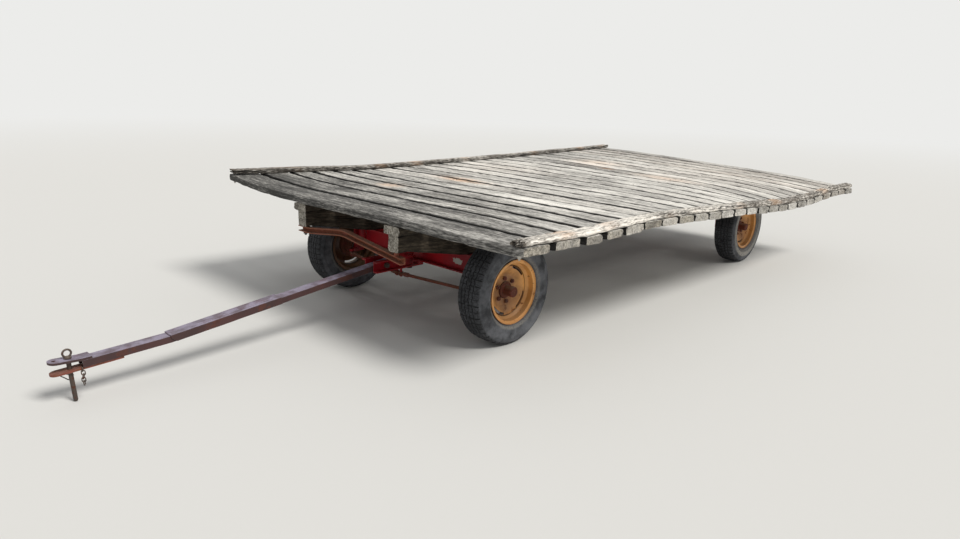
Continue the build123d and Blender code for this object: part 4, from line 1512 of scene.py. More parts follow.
@dataclass
class Wheel:
    """One wheel: worn tyre, drop-centre rim with a slotted disc, and hub with its nuts."""

    place: str
    side: Side
    finishes: Finishes
    turn: float
    rim_seat: float = 0.1905
    flange: float = 0.0195
    rim_inside: float = 0.072
    rim_metal: float = 0.004
    well: float = 0.022
    tread_half: float = 0.074
    groove: float = 0.0065
    groove_depth: float = 0.0052
    pitches: int = 52
    nut: float = 0.024
    nut_height: float = 0.013
    stud: float = 0.013
    stud_height: float = 0.008
    stud_sunk: float = 0.002
    bolt_circle: float = 0.077
    bolts: int = 6
    disc_slots: int = 4
    first_slot: float = 13.0
    slot_angle: float = 46.0
    slot_inner: float = 0.1435
    slot_outer: float = 0.1585
    disc_metal: float = 0.005
    disc_dish: float = 0.028
    skirt_depth: float = 0.010
    dish_inner: float = 0.101
    dish_outer: float = 0.1415
    skirt_radius: float = 0.1605
    barrel: float = 0.054
    barrel_length: float = 0.012
    neck: float = 0.033
    neck_end: float = 0.057
    cap: float = 0.035
    cap_length: float = 0.027
    hub_flange: float = 0.095
    flange_metal: float = 0.012
    inner_length: float = 0.078
    bore: float = 0.0223
    crown: float = 0.005
    shoulder: Pair = (0.051, 0.0845)
    middle_rib: float = 0.012
    outer_rib: Pair = (0.020, 0.042)
    lug_shares: Pair = (0.03, 0.15)
    cut_shares: Pair = (0.52, 0.58)
    well_half: float = 0.024
    ramp: float = 0.039
    zigzag: float = 0.0055
    wear: float = 0.0014
    shoulder_drop: float = 0.018
    rib_drop: float = 0.012
    tread_drop: float = 0.02
    tread_gap: float = 0.0006
    seat_gap: float = 0.0003
    grooves: tuple[Pair, ...] = ((-0.046, 0.5), (-0.016, 1.0), (0.016, -1.0), (0.046, -0.5))
    ribs: tuple[float, ...] = (0.006, 0.026, 0.036, 0.057, 0.064, 0.072)
    wall: tuple[Pair, ...] = (
        (0.0080, 0.0785), (0.0130, 0.0835), (0.022, 0.0885), (0.034, 0.0935), (0.040, 0.0960),
        (0.042, 0.0972), (0.048, 0.0974), (0.050, 0.0965), (0.064, 0.0985), (0.080, 0.0993),
        (0.096, 0.0975), (0.106, 0.0945), (0.108, 0.0950), (0.112, 0.0945), (0.114, 0.0925),
        (0.122, 0.0870), (0.127, 0.0800),
    )
    lining: tuple[Pair, ...] = ((0.120, 0.070), (0.080, 0.086), (0.030, 0.070))
    pitch_shares: tuple[float, ...] = (0.0, 0.03, 0.15, 0.18, 0.30, 0.42, 0.50, 0.52, 0.58, 0.60, 0.80)

    def __post_init__(self) -> None:
        """Read the wheel's place from the frame."""
        low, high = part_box("tyre_" + self.place)
        self.radius = (high.z - low.z) / 2
        away = Matrix.Rotation(0.0 if self.side is Side.LEFT else math.pi, 4, "Z")
        spin = Matrix.Rotation(math.radians(self.turn), 4, "Y")
        self.to_world = Matrix.Translation((low + high) / 2) @ away @ spin

    def piece(
        self, kind: str, form: Shape | Mesh, look: Material, slot: Slot, node: str, sharp: float
    ) -> None:
        """Put a piece of the wheel into the scene, with values for its finish.

        Each point keeps its place on the wheel and how far it faces the wagon; the rim's finish paints the
        faces towards the wagon in shade.

        Args:
            kind: What the piece is called on every wheel.
            form: Its shape or its mesh, in place.
            look: Its material.
            slot: Record's slot for the piece; not used.
            node: First word of the CAD node that it stands for, empty for none.
            sharp: Angle in degrees from which an edge is drawn sharp.
        """
        name = f"{kind}_{self.place}"
        mesh = form.mesh(name) if isinstance(form, Shape) else form
        points = np.empty(len(mesh.vertices) * 3, np.float32)
        mesh.vertices.foreach_get("co", points)
        give_values(mesh, "place", moved(points.reshape(-1, 3), self.to_world.inverted()))
        # how far each face turns to the wagon, which the rim's finish paints as shade
        ways = np.empty(len(mesh.vertices) * 3, np.float32)
        mesh.vertex_normals.foreach_get("vector", ways)
        outward = ways.reshape(-1, 3) @ np.array(self.to_world.to_3x3() @ Vector((0, 1, 0)))
        give_values(mesh, "back", np.clip((-outward - 0.2) / 0.4, 0, 1))
        nodes = (f"{node}_{self.place}",) if node else ()
        finish_piece(name, mesh, look, self.place + "_wheel", nodes, sharp)

    def tread_outline(self) -> np.ndarray:
        """Section of the tyre.

        Returns:
            Radius, place across, groove depth and zigzag share of each point, one point in a column.
        """
        half = self.groove / 2
        steps = (
            (-half - 0.001, 0.0), (-half, 0.0), (-half + 0.001, 1.0),
            (half - 0.001, 1.0), (half, 0.0), (half + 0.001, 0.0),
        )
        marks = [(sign * place, 0.0, 0.0) for place in self.ribs for sign in (-1, 1)]
        for middle, zigzag in self.grooves:
            marks += [(middle + offset, depth, zigzag) for offset, depth in steps]
        rows = []
        for place, depth, zigzag in sorted(marks):
            fall = self.crown * (place / self.tread_half) ** 2
            rows.append((self.radius - self.tread_gap - fall, place, depth, zigzag))
        seat = self.rim_seat + self.seat_gap
        inside = self.rim_inside - self.seat_gap
        wall = [(self.radius - drop, across) for drop, across in self.wall]
        wall.append((self.rim_seat + self.flange + 0.004, 0.0745))
        wall += [(self.rim_seat + self.flange - 0.002, inside), (seat, inside)]
        wall.append((seat, self.rim_inside - 0.018))
        wall += [(self.radius - drop, across) for drop, across in self.lining]
        left = [(r, -y, 0.0, 0.0) for r, y in reversed(wall)]
        right = [(r, y, 0.0, 0.0) for r, y in wall]
        return np.array(rows + right + left).T

    def tyre(self) -> None:
        """Build the tyre with its worn blocks, shoulder lugs and cuts."""
        radius, across, groove, zigzag = self.tread_outline()
        luck = random.Random(number_of(self.place))
        rings, depths = [], []
        wide = np.abs(across)
        shoulder = (wide > self.shoulder[0]) & (wide < self.shoulder[1])
        shoulder &= radius > self.radius - self.shoulder_drop
        ribs = (groove == 0) & (radius > self.radius - self.rib_drop)
        middle = ribs & (wide < self.middle_rib)
        outer = ribs & (wide > self.outer_rib[0]) & (wide < self.outer_rib[1])
        for i in range(self.pitches):
            wobble = luck.uniform(-0.3, 0.3)
            worn = luck.uniform(0.35, 1.0)
            skipped = luck.choice((0.0, 0.5, 1.0))
            for share in self.pitch_shares:
                angle = (i + share + 0.08 * wobble) * math.tau / self.pitches
                lug = worn if share in self.lug_shares else 0.0
                cut = skipped if share in self.cut_shares else 0.0
                depth = np.maximum(groove, shoulder * lug)
                depth = np.maximum(depth, outer * lug * 0.8)
                depth = np.maximum(depth, middle * cut)
                wave = 2 * abs((share * 2) % 2 - 1) - 1
                r = radius - self.groove_depth * depth
                place = across + zigzag * (self.zigzag * wave + 0.002 * wobble)
                rings.append(np.column_stack([r * math.cos(angle), place, r * math.sin(angle)]))
                depths.append(depth)
        points = np.vstack(rings)
        out = unit(points * (1.0, 0.0, 1.0))
        tread = np.tile((radius > self.radius - self.tread_drop).astype(float), len(rings))
        points += out * (self.wear * tread * (bumps(points, 0.022, self.turn + 90.0) - 0.9))[:, None]
        shape = Shape()
        faces = ring_faces(len(rings), len(radius), closed=True)
        shape.add(moved(points, self.to_world), faces, {"depth": np.concatenate(depths)})
        look = self.finishes.rubber_ringed if self.place == "rear_left" else self.finishes.rubber
        self.piece("tyre_worn", shape, look, Slot.TYRE, "tyre", 40.0)

    def rim(self) -> None:
        """Build the rim and its slotted disc as one stamped and welded piece."""
        seat, inside, thick = self.rim_seat, self.rim_inside, self.rim_metal
        well, half_well, ramp = seat - self.well, self.well_half, self.ramp
        top = seat + self.flange
        half = [
            (well, half_well),
            (seat, ramp),
            (seat, inside),
            (top - 0.004, inside),
            (top, inside + 0.004),
            (top - 0.001, inside + 0.0105),
            (top - 0.005, inside + 0.0105),
            (top - 0.006, inside + thick),
            (seat - thick, inside + thick),
            (seat - thick, ramp - 0.001),
            (well - thick, half_well - 0.001),
        ]
        outline = rounded_outline(half + [(r, -y) for r, y in reversed(half)], 0.0045, 4)
        rim = Shape()
        rim.lathe(outline, 128, self.to_world)
        self.piece("rim", rim, self.finishes.rim, Slot.RIM, "wheel", 50.0)
        self.disc(well - thick)

    def disc(self, edge: float) -> None:
        """Build the dished disc with its curved slots.

        Args:
            edge: Radius at which it meets the rim's well.
        """
        metal, dish, low = self.disc_metal, self.disc_dish, -self.skirt_depth
        corners = [
            (edge - 0.0003, low),
            (edge - 0.0003, dish - 0.006),
            (self.skirt_radius, dish),
            (self.dish_outer, dish),
            (self.dish_inner, 0.0),
            (self.barrel + 0.0005, 0.0),
            (self.barrel + 0.0005, -metal),
            (self.dish_inner, -metal),
            (self.dish_outer, dish - metal),
            (edge - metal, dish - metal),
            (edge - metal, low),
        ]
        plate = Shape()
        plate.lathe(rounded_outline(corners, 0.006, 5), 144, Matrix.Identity(4))
        cutter = Shape()
        for i in range(self.disc_slots):
            self._slot(cutter, self.first_slot + 360 / self.disc_slots * i)
        piece = link_object("plate", plate.mesh("plate"))
        tool = link_object("tool", cutter.mesh("tool"))
        change = piece.modifiers.new("slots", "BOOLEAN")
        change.object = tool
        change.solver = "EXACT"
        ready = piece.evaluated_get(bpy.context.evaluated_depsgraph_get())
        mesh = bpy.data.meshes.new_from_object(ready)
        mesh.transform(self.to_world)
        for made in (piece, tool):
            bpy.data.objects.remove(made)
        self.piece("disc", mesh, self.finishes.rim, Slot.RIM, "wheel", 40.0)

    def _slot(self, cutter: Shape, middle: float) -> None:
        """Add the cutter of one curved slot with round ends.

        Args:
            cutter: Shape of all the cutters.
            middle: Its middle angle in degrees.
        """
        inner, outer = self.slot_inner, self.slot_outer
        centre = (inner + outer) / 2
        half = (outer - inner) / 2
        bow = math.radians(self.slot_angle / 2) - half / centre
        start = math.radians(middle)
        outline = []
        for edge, sign in ((outer, 1), (inner, -1)):
            outline += [(edge, start + t) for t in np.linspace(-sign * bow, sign * bow, 15)]
            for t in np.linspace(sign * math.pi / 2, -sign * math.pi / 2, 9)[1:-1]:
                round_end = start + sign * bow + sign * half / centre * math.cos(t)
                outline.append((centre + half * math.sin(t), round_end))
        ring = [(r * math.cos(a), r * math.sin(a)) for r, a in outline]
        low = self.disc_dish - self.disc_metal - 0.004
        points = np.array([(x, y, z) for y in (low, self.disc_dish + 0.005) for x, z in ring])
        cutter.add(points, closed_faces(2, len(ring)))

    def hub(self) -> None:
        """Build the hub with its flange, nuts, studs, neck and cap."""
        back = -self.disc_metal
        inner_end = back - self.flange_metal - self.inner_length
        end = self.neck_end + self.cap_length
        corners = [
            (self.bore, inner_end),
            (self.barrel, inner_end),
            (self.barrel + 0.005, back - self.flange_metal),
            (self.hub_flange, back - self.flange_metal),
            (self.hub_flange, back),
            (self.barrel, back),
            (self.barrel, self.barrel_length - 0.004),
            (self.barrel - 0.004, self.barrel_length),
            (self.neck + 0.003, self.barrel_length),
            (self.neck, self.barrel_length + 0.006),
            (self.neck, self.neck_end - 0.001),
            (self.cap, self.neck_end),
            (self.cap, end - 0.010),
            (self.cap - 0.004, end - 0.003),
            (self.cap - 0.013, end),
            (0.0005, end),
            (0.0005, self.neck_end - 0.004),
            (self.bore, self.neck_end - 0.004),
        ]
        shape = Shape()
        shape.lathe(rounded_outline(corners, 0.0025, 3), 72, self.to_world)
        axis = self.to_world.to_3x3() @ Vector((0, 1, 0))
        r = self.bolt_circle
        for angle in circle(self.bolts):
            spot = Vector((r * math.cos(angle), 0.0, r * math.sin(angle)))
            shape.hexagon(self.to_world @ spot, axis, self.nut, self.nut_height)
            stud = spot + Vector((0, self.nut_height - self.stud_sunk, 0))
            shape.hexagon(self.to_world @ stud, axis, self.stud, self.stud_height)
        self.piece("hub_turned", shape, self.finishes.hub, Slot.HUB, "hub", 40.0)

    def valve(self) -> None:
        """Build the valve stem that stands out of the rim beside the flange."""
        r = self.rim_seat - 0.008
        path = smooth_path([(r + 0.006, 0.040, 0.0), (r - 0.006, 0.050, 0.0), (r - 0.013, 0.064, 0.0)], 5)
        shape = Shape()
        shape.tube(moved(path, self.to_world), np.linspace(0.0055, 0.0035, len(path)), 12)
        self.piece("valve", shape, self.finishes.rubber, Slot.TYRE, "", 35.0)

    def build(self) -> None:
        """Build the whole wheel."""
        self.tyre()
        self.rim()
        self.hub()
        self.valve()


# Running gear and tongue


@dataclass(frozen=True)
class TongueLine:
    """Middle line of the tongue: straight down from its bolt, then bent up a little in front."""

    slope: float = 7.1
    bend: float = 4.1
    bend_station: float = 1.449

    def place(self, station: float, across: float, up: float) -> Triple:
        """Place of a point on the tongue.

        Args:
            station: Length along the tongue from its bolt.
            across: Distance to the left of its middle.
            up: Height over its middle line.

        Returns:
            The point in the wagon's frame.
        """
        bolt = middle_of("lift_bolt")
        turn = math.radians(self.bend) if station > self.bend_station else 0.0
        run = station - min(station, self.bend_station)
        x = min(station, self.bend_station) + run * math.cos(turn) - up * math.sin(turn)
        z = run * math.sin(turn) + up * math.cos(turn)
        fall = math.radians(self.slope)
        return (
            bolt.x + x * math.cos(fall) + z * math.sin(fall),
            across,
            bolt.z - x * math.sin(fall) + z * math.cos(fall),
        )


@dataclass
class Hitch:
    """Small pieces on the tongue: weld seams, the pin's clip and the short keeper chain."""

    finishes: Finishes
    line: TongueLine = TongueLine()
    top: float = 0.018
    sleeve_start: float = 0.785
    sleeve_end: float = 1.449
    sleeve_metal: float = 0.0063
    strap_start: float = 1.836
    tongue_end: float = 1.882
    side_seam: float = -0.0165
    seam: float = 0.0030
    bead_step: float = 0.0035
    wire: float = 0.0026
    clip_reach: float = 0.052
    clip_turn: float = -42.0
    links: int = 4
    link_length: float = 0.026
    link_width: float = 0.0085
    link_wire: float = 0.0026
    eye: Pair = (0.0125, 0.011)

    def seams(self) -> None:
        """Build the weld seams of the sleeve and of the upper strap."""
        low, crown = self.top + 0.001, self.top + self.sleeve_metal
        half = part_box("tongue_sleeve")[1].y
        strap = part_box("hitch_strap_top")[1].y
        start, end = self.sleeve_start, self.sleeve_end
        ends = (
            (start - 0.001, half - 0.008),
            (end + 0.001, half - 0.008),
            (self.strap_start - 0.001, strap - 0.004),
        )
        runs = [((station, -side, low), (station, side, low)) for station, side in ends]
        runs[2:2] = [
            ((start + 0.02, 0.018, crown - 0.0010), (end - 0.08, 0.020, crown - 0.0010)),
            ((start + 0.05, -0.004, crown - 0.0016), (end - 0.20, -0.002, crown - 0.0016)),
        ]
        for side in (half - 0.003, 0.003 - half):
            for first, last in ((0.03, 0.16), (0.30, 0.44)):
                runs.append(((start + first, side, self.side_seam), (start + last, side, self.side_seam)))
        shape = Shape()
        for first, last in np.array(runs):
            count = max(12, int(float(np.linalg.norm(last - first)) / self.bead_step))
            shares = np.linspace(0, 1, count)
            path = np.array([self.line.place(*row) for row in first + np.outer(shares, last - first)])
            radii = self.seam * (1 + 0.22 * np.sin(np.arange(count) * 2.1))
            shape.tube(path, radii * (0.7 + 0.3 * np.sin(np.pi * shares) ** 0.3), 9)
        finish_piece("tongue_weld_seams", shape, self.finishes.tongue, Body.TONGUE.value)

    def clip(self) -> None:
        """Build the bent wire clip through the draw pin, below the lower strap."""
        low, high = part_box("draw_pin")
        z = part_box("hitch_strap_bottom")[0].z - 0.004
        reach = self.clip_reach
        turn = math.radians(self.clip_turn)
        bends = (
            (-0.022, 0.002, 0.010),
            (0.0, 0.002, 0.008),
            (reach * 0.7, 0.004, 0.004),
            (reach, 0.002, 0.008),
            (reach * 0.97, -0.003, 0.016),
            (reach * 0.6, -0.008, 0.030),
            (0.014, -0.012, 0.042),
            (0.004, -0.013, 0.040),
        )
        path = []
        for out, aside, down in bends:
            x = (low.x + high.x) / 2 + out * math.cos(turn) - aside * math.sin(turn)
            path.append((x, out * math.sin(turn) + aside * math.cos(turn), z - down))
        shape = Shape()
        shape.tube(smooth_path(path, 8), self.wire, 10)
        finish_piece("pin_clip_wire", shape, self.finishes.steel, Body.TONGUE.value, (), 60.0)

    def chain(self) -> None:
        """Build the short keeper chain that hangs from the lower strap's left edge."""
        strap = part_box("hitch_strap_bottom")
        x, _, z = self.line.place(self.tongue_end + 0.006, 0.0, -0.028)
        y = strap[1].y
        shape = Shape()
        angles = np.linspace(-0.2, math.pi + 0.2, 14)
        wide, high = self.eye
        eye = np.array([(x, y - 0.003 + wide * math.sin(a), z + high * math.cos(a)) for a in angles])
        shape.tube(eye, self.link_wire, 10)
        top = np.array((x, y + 0.0085, z - 0.0035))
        straight = self.link_length / 2 - self.link_width
        for i in range(self.links):
            turn = math.radians(55 if i % 2 else -30)
            side = np.array((math.cos(turn), math.sin(turn), 0.0))
            lean = np.array((0.10 * math.sin(i * 1.7), 0.13 * math.cos(i * 1.3), -1.0))
            lean /= np.linalg.norm(lean)
            middle = top + lean * (self.link_length / 2 - self.link_wire)
            loop = []
            for a in np.linspace(0, math.tau, 33)[:-1]:
                along = straight * (1 if math.sin(a) > 0 else -1) + self.link_width * math.sin(a)
                loop.append(middle + side * self.link_width * math.cos(a) + lean * along)
            self._ring(shape, np.array(loop))
            top = top + lean * (self.link_length - 3 * self.link_wire)
        finish_piece("keeper_chain", shape, self.finishes.steel, Body.TONGUE.value, (), 60.0)

    def _ring(self, shape: Shape, loop: np.ndarray) -> None:
        """Add one closed link.

        Args:
            shape: The shape that is being built.
            loop: Points of its middle line.
        """
        runs = unit(np.roll(loop, -1, 0) - np.roll(loop, 1, 0))
        flat = np.cross(runs[0], runs[len(runs) // 4])
        flat /= np.linalg.norm(flat)
        turns = circle(8)
        rings = []
        for middle, run in zip(loop, runs):
            out = np.cross(run, flat)
            around = np.outer(np.cos(turns), out) + np.outer(np.sin(turns), flat)
            rings.append(middle + self.link_wire * around)
        shape.add(np.vstack(rings), ring_faces(len(loop), len(turns), closed=True))

    def build(self) -> None:
        """Build every small piece of the hitch."""
        self.seams()
        self.clip()
        self.chain()


@dataclass
class RunningGear:
    """Steel gear: its CAD pieces dressed, with nuts, pins, grease fittings and welds added."""

    finishes: Finishes
    nut: float = 0.030
    nut_height: float = 0.014
    thread: float = 0.0075
    tip: float = 0.006
    grease_inset: float = 0.023
    rod_eye_inset: float = 0.028
    split_pin: float = 0.030
    knuckle_plate: float = 0.7425
    spindle_seam: float = 0.0375
    rear_plate: float = 0.0253
    boss: float = 0.660
    boss_seam: float = 0.0325
    bar_bolt: float = -0.500
    spacer: float = 0.040
    clamp_inset: float = 0.016
    corner_bolt: Pair = (1.664, 1.478)
    corner_head: float = 0.013
    corner_nut: Pair = (0.016, 0.009)
    corner_thread: float = 0.0048

    def dress(self) -> None:
        """Give every CAD piece that stays its finish."""
        made = self.finishes
        looks = {
            Slot.DECK: made.deck,
            Slot.RAIL: made.rail,
            Slot.SILL: made.sill,
            Slot.GEAR: made.red,
            Slot.TONGUE: made.tongue,
            Slot.BAR: made.bar,
            Slot.HITCH: made.hitch,
            Slot.STEEL: made.steel,
            Slot.RIM: made.rim,
            Slot.HUB: made.hub,
            Slot.TYRE: made.rubber,
        }
        own = {"hitch_strap_bottom": made.strap}
        for part in FRAME["record"]["subparts"]:
            node = FRAME["nodes"][part["node"]]
            for place in node.material_slots:
                place.link = "OBJECT"
                place.material = own.get(part["node"], looks[Slot(part["material_slot"])])
            log.info("%s: dressed as %s", part["node"], part["material_slot"])

    def bolt_end(self, shape: Shape, base: Point, axis: Point, thread: float) -> None:
        """Add a nut with the bolt's threaded end standing out of it.

        Args:
            shape: The shape that is being built.
            base: Middle of the nut's seat.
            axis: Way that the end points.
            thread: How far the end stands out of the nut.
        """
        way = Vector(axis).normalized()
        start = Vector(base)
        shape.hexagon(start, way, self.nut, self.nut_height)
        end = start + way * (self.nut_height + thread)
        count = 15
        path = np.array([start + (end - start) * t for t in np.linspace(0, 1, count)])
        radii = self.thread + 0.0006 * (np.arange(count) % 2)
        radii[-1] = self.tip
        shape.tube(path, radii, 12)

    def fitting(self, shape: Shape, base: Point, axis: Point) -> None:
        """Add a small grease fitting.

        Args:
            shape: The shape that is being built.
            base: Middle of its seat.
            axis: Way that it stands.
        """
        way = Vector(axis).normalized()
        start = Vector(base)
        shape.hexagon(start, way, 0.010, 0.004)
        rises = (0.003, 0.0055, 0.007, 0.0085, 0.0105, 0.012)
        radii = np.array([0.0032, 0.0022, 0.0022, 0.0034, 0.0034, 0.0015])
        shape.tube(np.array([start + way * r for r in rises]), radii, 12)

    def seam(self, shape: Shape, middle: Point, radius: float, axis: str, size: float = 0.0035) -> None:
        """Add a round weld seam.

        Args:
            shape: The shape that is being built.
            middle: Middle of the seam's circle.
            radius: Radius of the circle.
            axis: Axis that it goes round, y or z.
            size: Radius of the bead.
        """
        angles = np.linspace(0, math.tau, 73)
        flat = np.column_stack([np.cos(angles), np.sin(angles)]) * radius
        zero = np.zeros(len(angles))
        rows = (flat[:, 0], zero, flat[:, 1]) if axis == "y" else (flat[:, 0], flat[:, 1], zero)
        path = np.column_stack(rows) + np.array(middle)
        shape.tube(path, size * (1 + 0.2 * np.sin(np.arange(len(angles)) * 1.9)), 8)

    def cotter(self, shape: Shape, middle: Point, axis: Point, length: float) -> None:
        """Add a split pin with its bent tails.

        Args:
            shape: The shape that is being built.
            middle: Middle of the pin.
            axis: Way that the pin points.
            length: Its length.
        """
        way = np.array(Vector(axis).normalized())
        down = np.array((0.0, 0.0, -1.0))
        spot = np.array(middle)
        head = spot - way * length / 2
        tail = spot + way * length / 2
        ends = [head - way * 0.006 + down * 0.003, head - way * 0.007 - down * 0.003, head]
        path = smooth_path([*ends, spot, tail, tail + way * 0.003 + down * 0.008], 5)
        shape.tube(path, 0.0015, 8)

    def steering(self, side: Side) -> None:
        """Build the fittings of one front corner and the split pin of its tie rod's outer eye.

        Args:
            side: Side of the wagon.
        """
        sign = side.value
        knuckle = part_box("knuckle_" + side.word)
        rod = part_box("tie_rod_" + side.word)
        axle = middle_of("tyre_front_left")
        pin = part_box("kingpins")[1]
        body = side.word + "_knuckle"
        shape = Shape()
        self.fitting(shape, (axle.x, sign * (pin.y - self.grease_inset), pin.z - 0.0005), (0, 0, 1))
        self.seam(shape, (axle.x, sign * self.knuckle_plate, axle.z), self.spindle_seam, "y")
        finish_piece("knuckle_fittings_" + side.word, shape, self.finishes.steel, body)
        ends = Shape()
        outer = sign * ((rod[1].y if side is Side.LEFT else -rod[0].y) - self.rod_eye_inset)
        spot = (knuckle[1].x - self.rod_eye_inset, outer, rod[0].z - 0.0024)
        self.cotter(ends, spot, (1, 0.3, 0), self.split_pin)
        finish_piece("rod_split_pin_" + side.word, ends, self.finishes.steel, body, (), 60.0)

    def bolts(self, deck: Deck) -> None:
        """Build the nuts and bolt ends of the gear and the timber.

        Args:
            deck: The deck, for the height of the left sill's tip.
        """
        shape = Shape()
        low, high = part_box("lift_bolt")
        middle = middle_of("lift_bolt")
        self.bolt_end(shape, (middle.x, high.y - 0.001, middle.z), (0, 1, 0), 0.006)
        self.bolt_end(shape, (middle.x, low.y + 0.001, middle.z), (0, -1, 0), 0.003)
        finish_piece("lift_bolt_nuts", shape, self.finishes.steel, Body.YOKE.value)
        timber = Shape()
        low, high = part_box("arch_bar")
        under = deck.tip_bottom - self.spacer + 0.0005
        self.bolt_end(timber, ((low.x + high.x) / 2, self.bar_bolt, under), (0, 0, -1), 0.010)
        low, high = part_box("reach_clamp")
        for x in (low.x + self.clamp_inset, high.x - self.clamp_inset):
            self.fitting(timber, (x, 0.030, high.z - 0.018), (0, 0, 1))
        finish_piece("timber_bolt_ends", timber, self.finishes.steel, Body.CHASSIS.value)

    def corner_bolts(self, deck: Deck) -> None:
        """Build the bolts that hold the rails' ends, seen below the deck's corners.

        Args:
            deck: The deck, for its heights.
        """
        shape = Shape()
        x, y = self.corner_bolt
        for at_x in (x, deck.rear + deck.front - x):
            for side in Side:
                at_y = side.value * y
                under = deck.level - deck.thickness + float(deck.rise(at_x, at_y))
                shape.dome((at_x, at_y, under + 0.003), (0, 0, -1), self.corner_head, 0.0048)
                shape.hexagon((at_x, at_y, under), (0, 0, -1), *self.corner_nut)
                path = np.array([(at_x, at_y, under - 0.008 - 0.0012 * i) for i in range(9)])
                shape.tube(path, self.corner_thread + 0.0004 * (np.arange(9) % 2), 10)
        finish_piece("rail_bolt_ends", shape, self.finishes.zinc, Body.CHASSIS.value)

    def axle_welds(self) -> None:
        """Build the round welds at the rear spindles and the front beam's bosses."""
        shape = Shape()
        rear, front = middle_of("tyre_rear_left"), middle_of("tyre_front_left")
        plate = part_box("rear_axle_beam")[1].y + self.rear_plate
        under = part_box("front_axle_beam")[0].z + 0.004
        for side in Side:
            self.seam(shape, (rear.x, side.value * plate, rear.z), self.spindle_seam, "y")
            self.seam(shape, (front.x, side.value * self.boss, under), self.boss_seam, "z", 0.0025)
        finish_piece("axle_weld_seams", shape, self.finishes.red, Body.CHASSIS.value)

    def build(self, deck: Deck) -> None:
        """Dress the gear and add its small pieces.

        Args:
            deck: The deck, for the bolts below it.
        """
        self.dress()
        for side in Side:
            self.steering(side)
        self.bolts(deck)
        self.corner_bolts(deck)
        self.axle_welds()


# Stage


@dataclass(frozen=True)
class PhotoCamera:
    """Camera at the photograph's place and angle."""

    ahead_of_axle: float = 3.0908
    left: float = 3.5975
    height: float = 1.5681
    heading: float = 223.961
    pitch: float = 14.845
    roll: float = 1.735
    focal_pixels: float = 680.57
    image_width: float = 960.0
    sensor: float = 36.0
    reach: float = 200.0

    def build(self) -> None:
        """Create the camera and make it the scene's own."""
        axle = (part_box("tyre_front_left")[0].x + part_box("tyre_front_left")[1].x) / 2
        turn, down, lean = (math.radians(a) for a in (self.heading, self.pitch, self.roll))
        ahead = Vector((math.cos(turn) * math.cos(down), math.sin(turn) * math.cos(down), -math.sin(down)))
        side = ahead.cross(Vector((0, 0, 1))).normalized()
        top = side.cross(ahead)
        right = side * math.cos(lean) + top * math.sin(lean)
        up = top * math.cos(lean) - side * math.sin(lean)
        data = bpy.data.cameras.new("photo_camera")
        data.sensor_width = self.sensor
        data.lens = self.focal_pixels / self.image_width * self.sensor
        data.clip_end = self.reach
        camera = link_object("photo_camera", data)
        turned = Matrix((right, up, -ahead)).transposed().to_4x4()
        camera.matrix_world = Matrix.Translation((axle + self.ahead_of_axle, self.left, self.height)) @ turned
        bpy.context.scene.camera = camera
        log.info("camera at %s", tuple(round(v, 3) for v in camera.location))


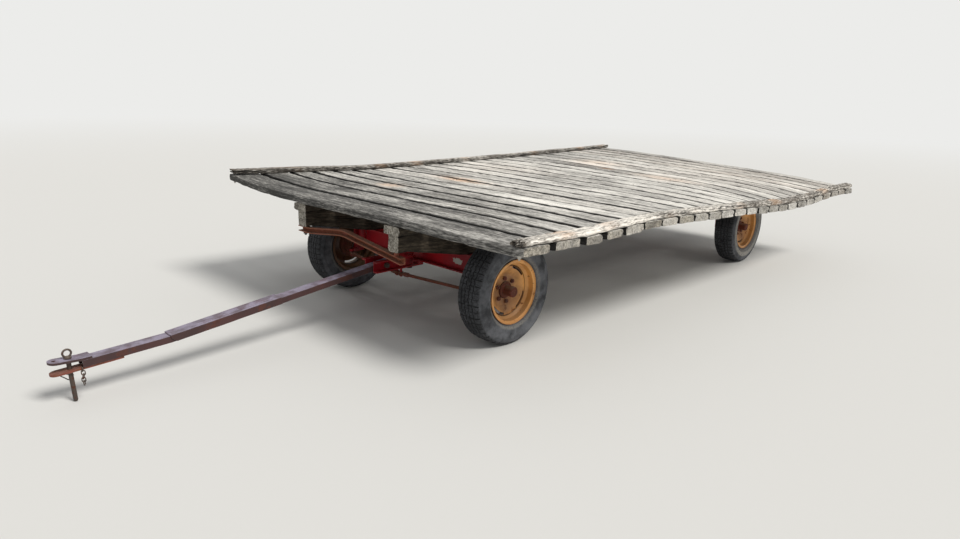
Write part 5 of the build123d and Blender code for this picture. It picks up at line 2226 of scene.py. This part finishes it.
@dataclass(frozen=True)
class Studio:
    """Plain pale floor and soft light."""

    floor_radius: float = 90.0
    floor_sides: int = 64
    floor_rough: float = 0.9
    floor_shine: float = 0.1
    floor_colour: Colour = colour(207, 207, 205)
    air_colour: Colour = colour(236, 236, 234)
    sky_strength: float = 0.50
    sun_strength: float = 3.1
    sun_softness: float = 20.0
    sun_from: Triple = (-0.15, 0.80, 0.90)
    sun_colour: Triple = (1.0, 0.97, 0.92)
    fade_start: float = 7.0
    fade_end: float = 30.0

    def floor(self) -> None:
        """Build the floor, which fades into the air far from the wagon."""
        turns = circle(self.floor_sides)
        edge = np.column_stack([np.cos(turns), np.sin(turns), np.zeros(len(turns))]) * self.floor_radius
        shape = Shape()
        faces = [(0, 1 + i, 1 + (i + 1) % len(turns)) for i in range(len(turns))]
        shape.add(np.vstack([np.zeros((1, 3)), edge]), faces)
        g, surface, made = Finish("studio_floor").start()
        surface.inputs["Base Color"].default_value = self.floor_colour
        surface.inputs["Roughness"].default_value = self.floor_rough
        surface.inputs["Specular IOR Level"].default_value = self.floor_shine
        far = g.ease(g.length(g.node("TexCoord").outputs["Object"]), self.fade_start, self.fade_end)
        seen = g.times(far, g.node("LightPath").outputs["Is Camera Ray"])
        air = g.node("Emission", {"Color": self.air_colour, "Strength": 1.0}).outputs[0]
        blend = g.node("MixShader", {0: seen, 1: surface.outputs[0], 2: air}).outputs[0]
        g.feed(made.node_tree.nodes["Material Output"].inputs["Surface"], blend)
        mesh = shape.mesh("studio_floor")
        mesh.materials.append(made)
        floor = link_object("studio_floor", mesh)

    def light(self) -> None:
        """Build the world light and the soft sun."""
        world = bpy.data.worlds.new("studio_air")
        bpy.context.scene.world = world
        world.use_nodes = True
        g = Graph(world.node_tree)
        world.node_tree.nodes.clear()
        rays = g.node("LightPath").outputs
        mirrored = g.sums("MAXIMUM", rays["Is Glossy Ray"], rays["Is Transmission Ray"])
        seen = g.sums("MAXIMUM", rays["Is Camera Ray"], mirrored)
        soft = g.node("Background", {"Color": (1.0, 1.0, 1.0, 1.0), "Strength": self.sky_strength}).outputs[0]
        plain = g.node("Background", {"Color": self.air_colour, "Strength": 1.0}).outputs[0]
        both = g.node("MixShader", {0: seen, 1: soft, 2: plain}).outputs[0]
        g.node("OutputWorld", {"Surface": both})
        data = bpy.data.lights.new("soft_sun", "SUN")
        data.energy = self.sun_strength
        data.angle = math.radians(self.sun_softness)
        data.color = self.sun_colour
        sun = link_object("soft_sun", data)
        sun.rotation_euler = Vector(self.sun_from).to_track_quat("Z", "Y").to_euler()

    def build(self) -> None:
        """Build the stage."""
        self.floor()
        self.light()
        view = bpy.context.scene.view_settings
        view.view_transform = "Standard"


def main() -> None:
    """Build the wagon's looks in order."""
    logging.basicConfig(level=logging.INFO, format="%(name)s: %(message)s")
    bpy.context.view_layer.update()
    PhotoCamera().build()
    Studio().build()
    finishes = Finishes(Effects())
    deck = Deck(finishes)
    deck.build()
    for place, turn in WHEEL_TURNS.items():
        side = Side.LEFT if place.endswith("left") else Side.RIGHT
        Wheel(place, side, finishes, turn).build()
    RunningGear(finishes).build(deck)
    Hitch(finishes).build()


if __name__ == "__main__":
    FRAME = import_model()
    main()
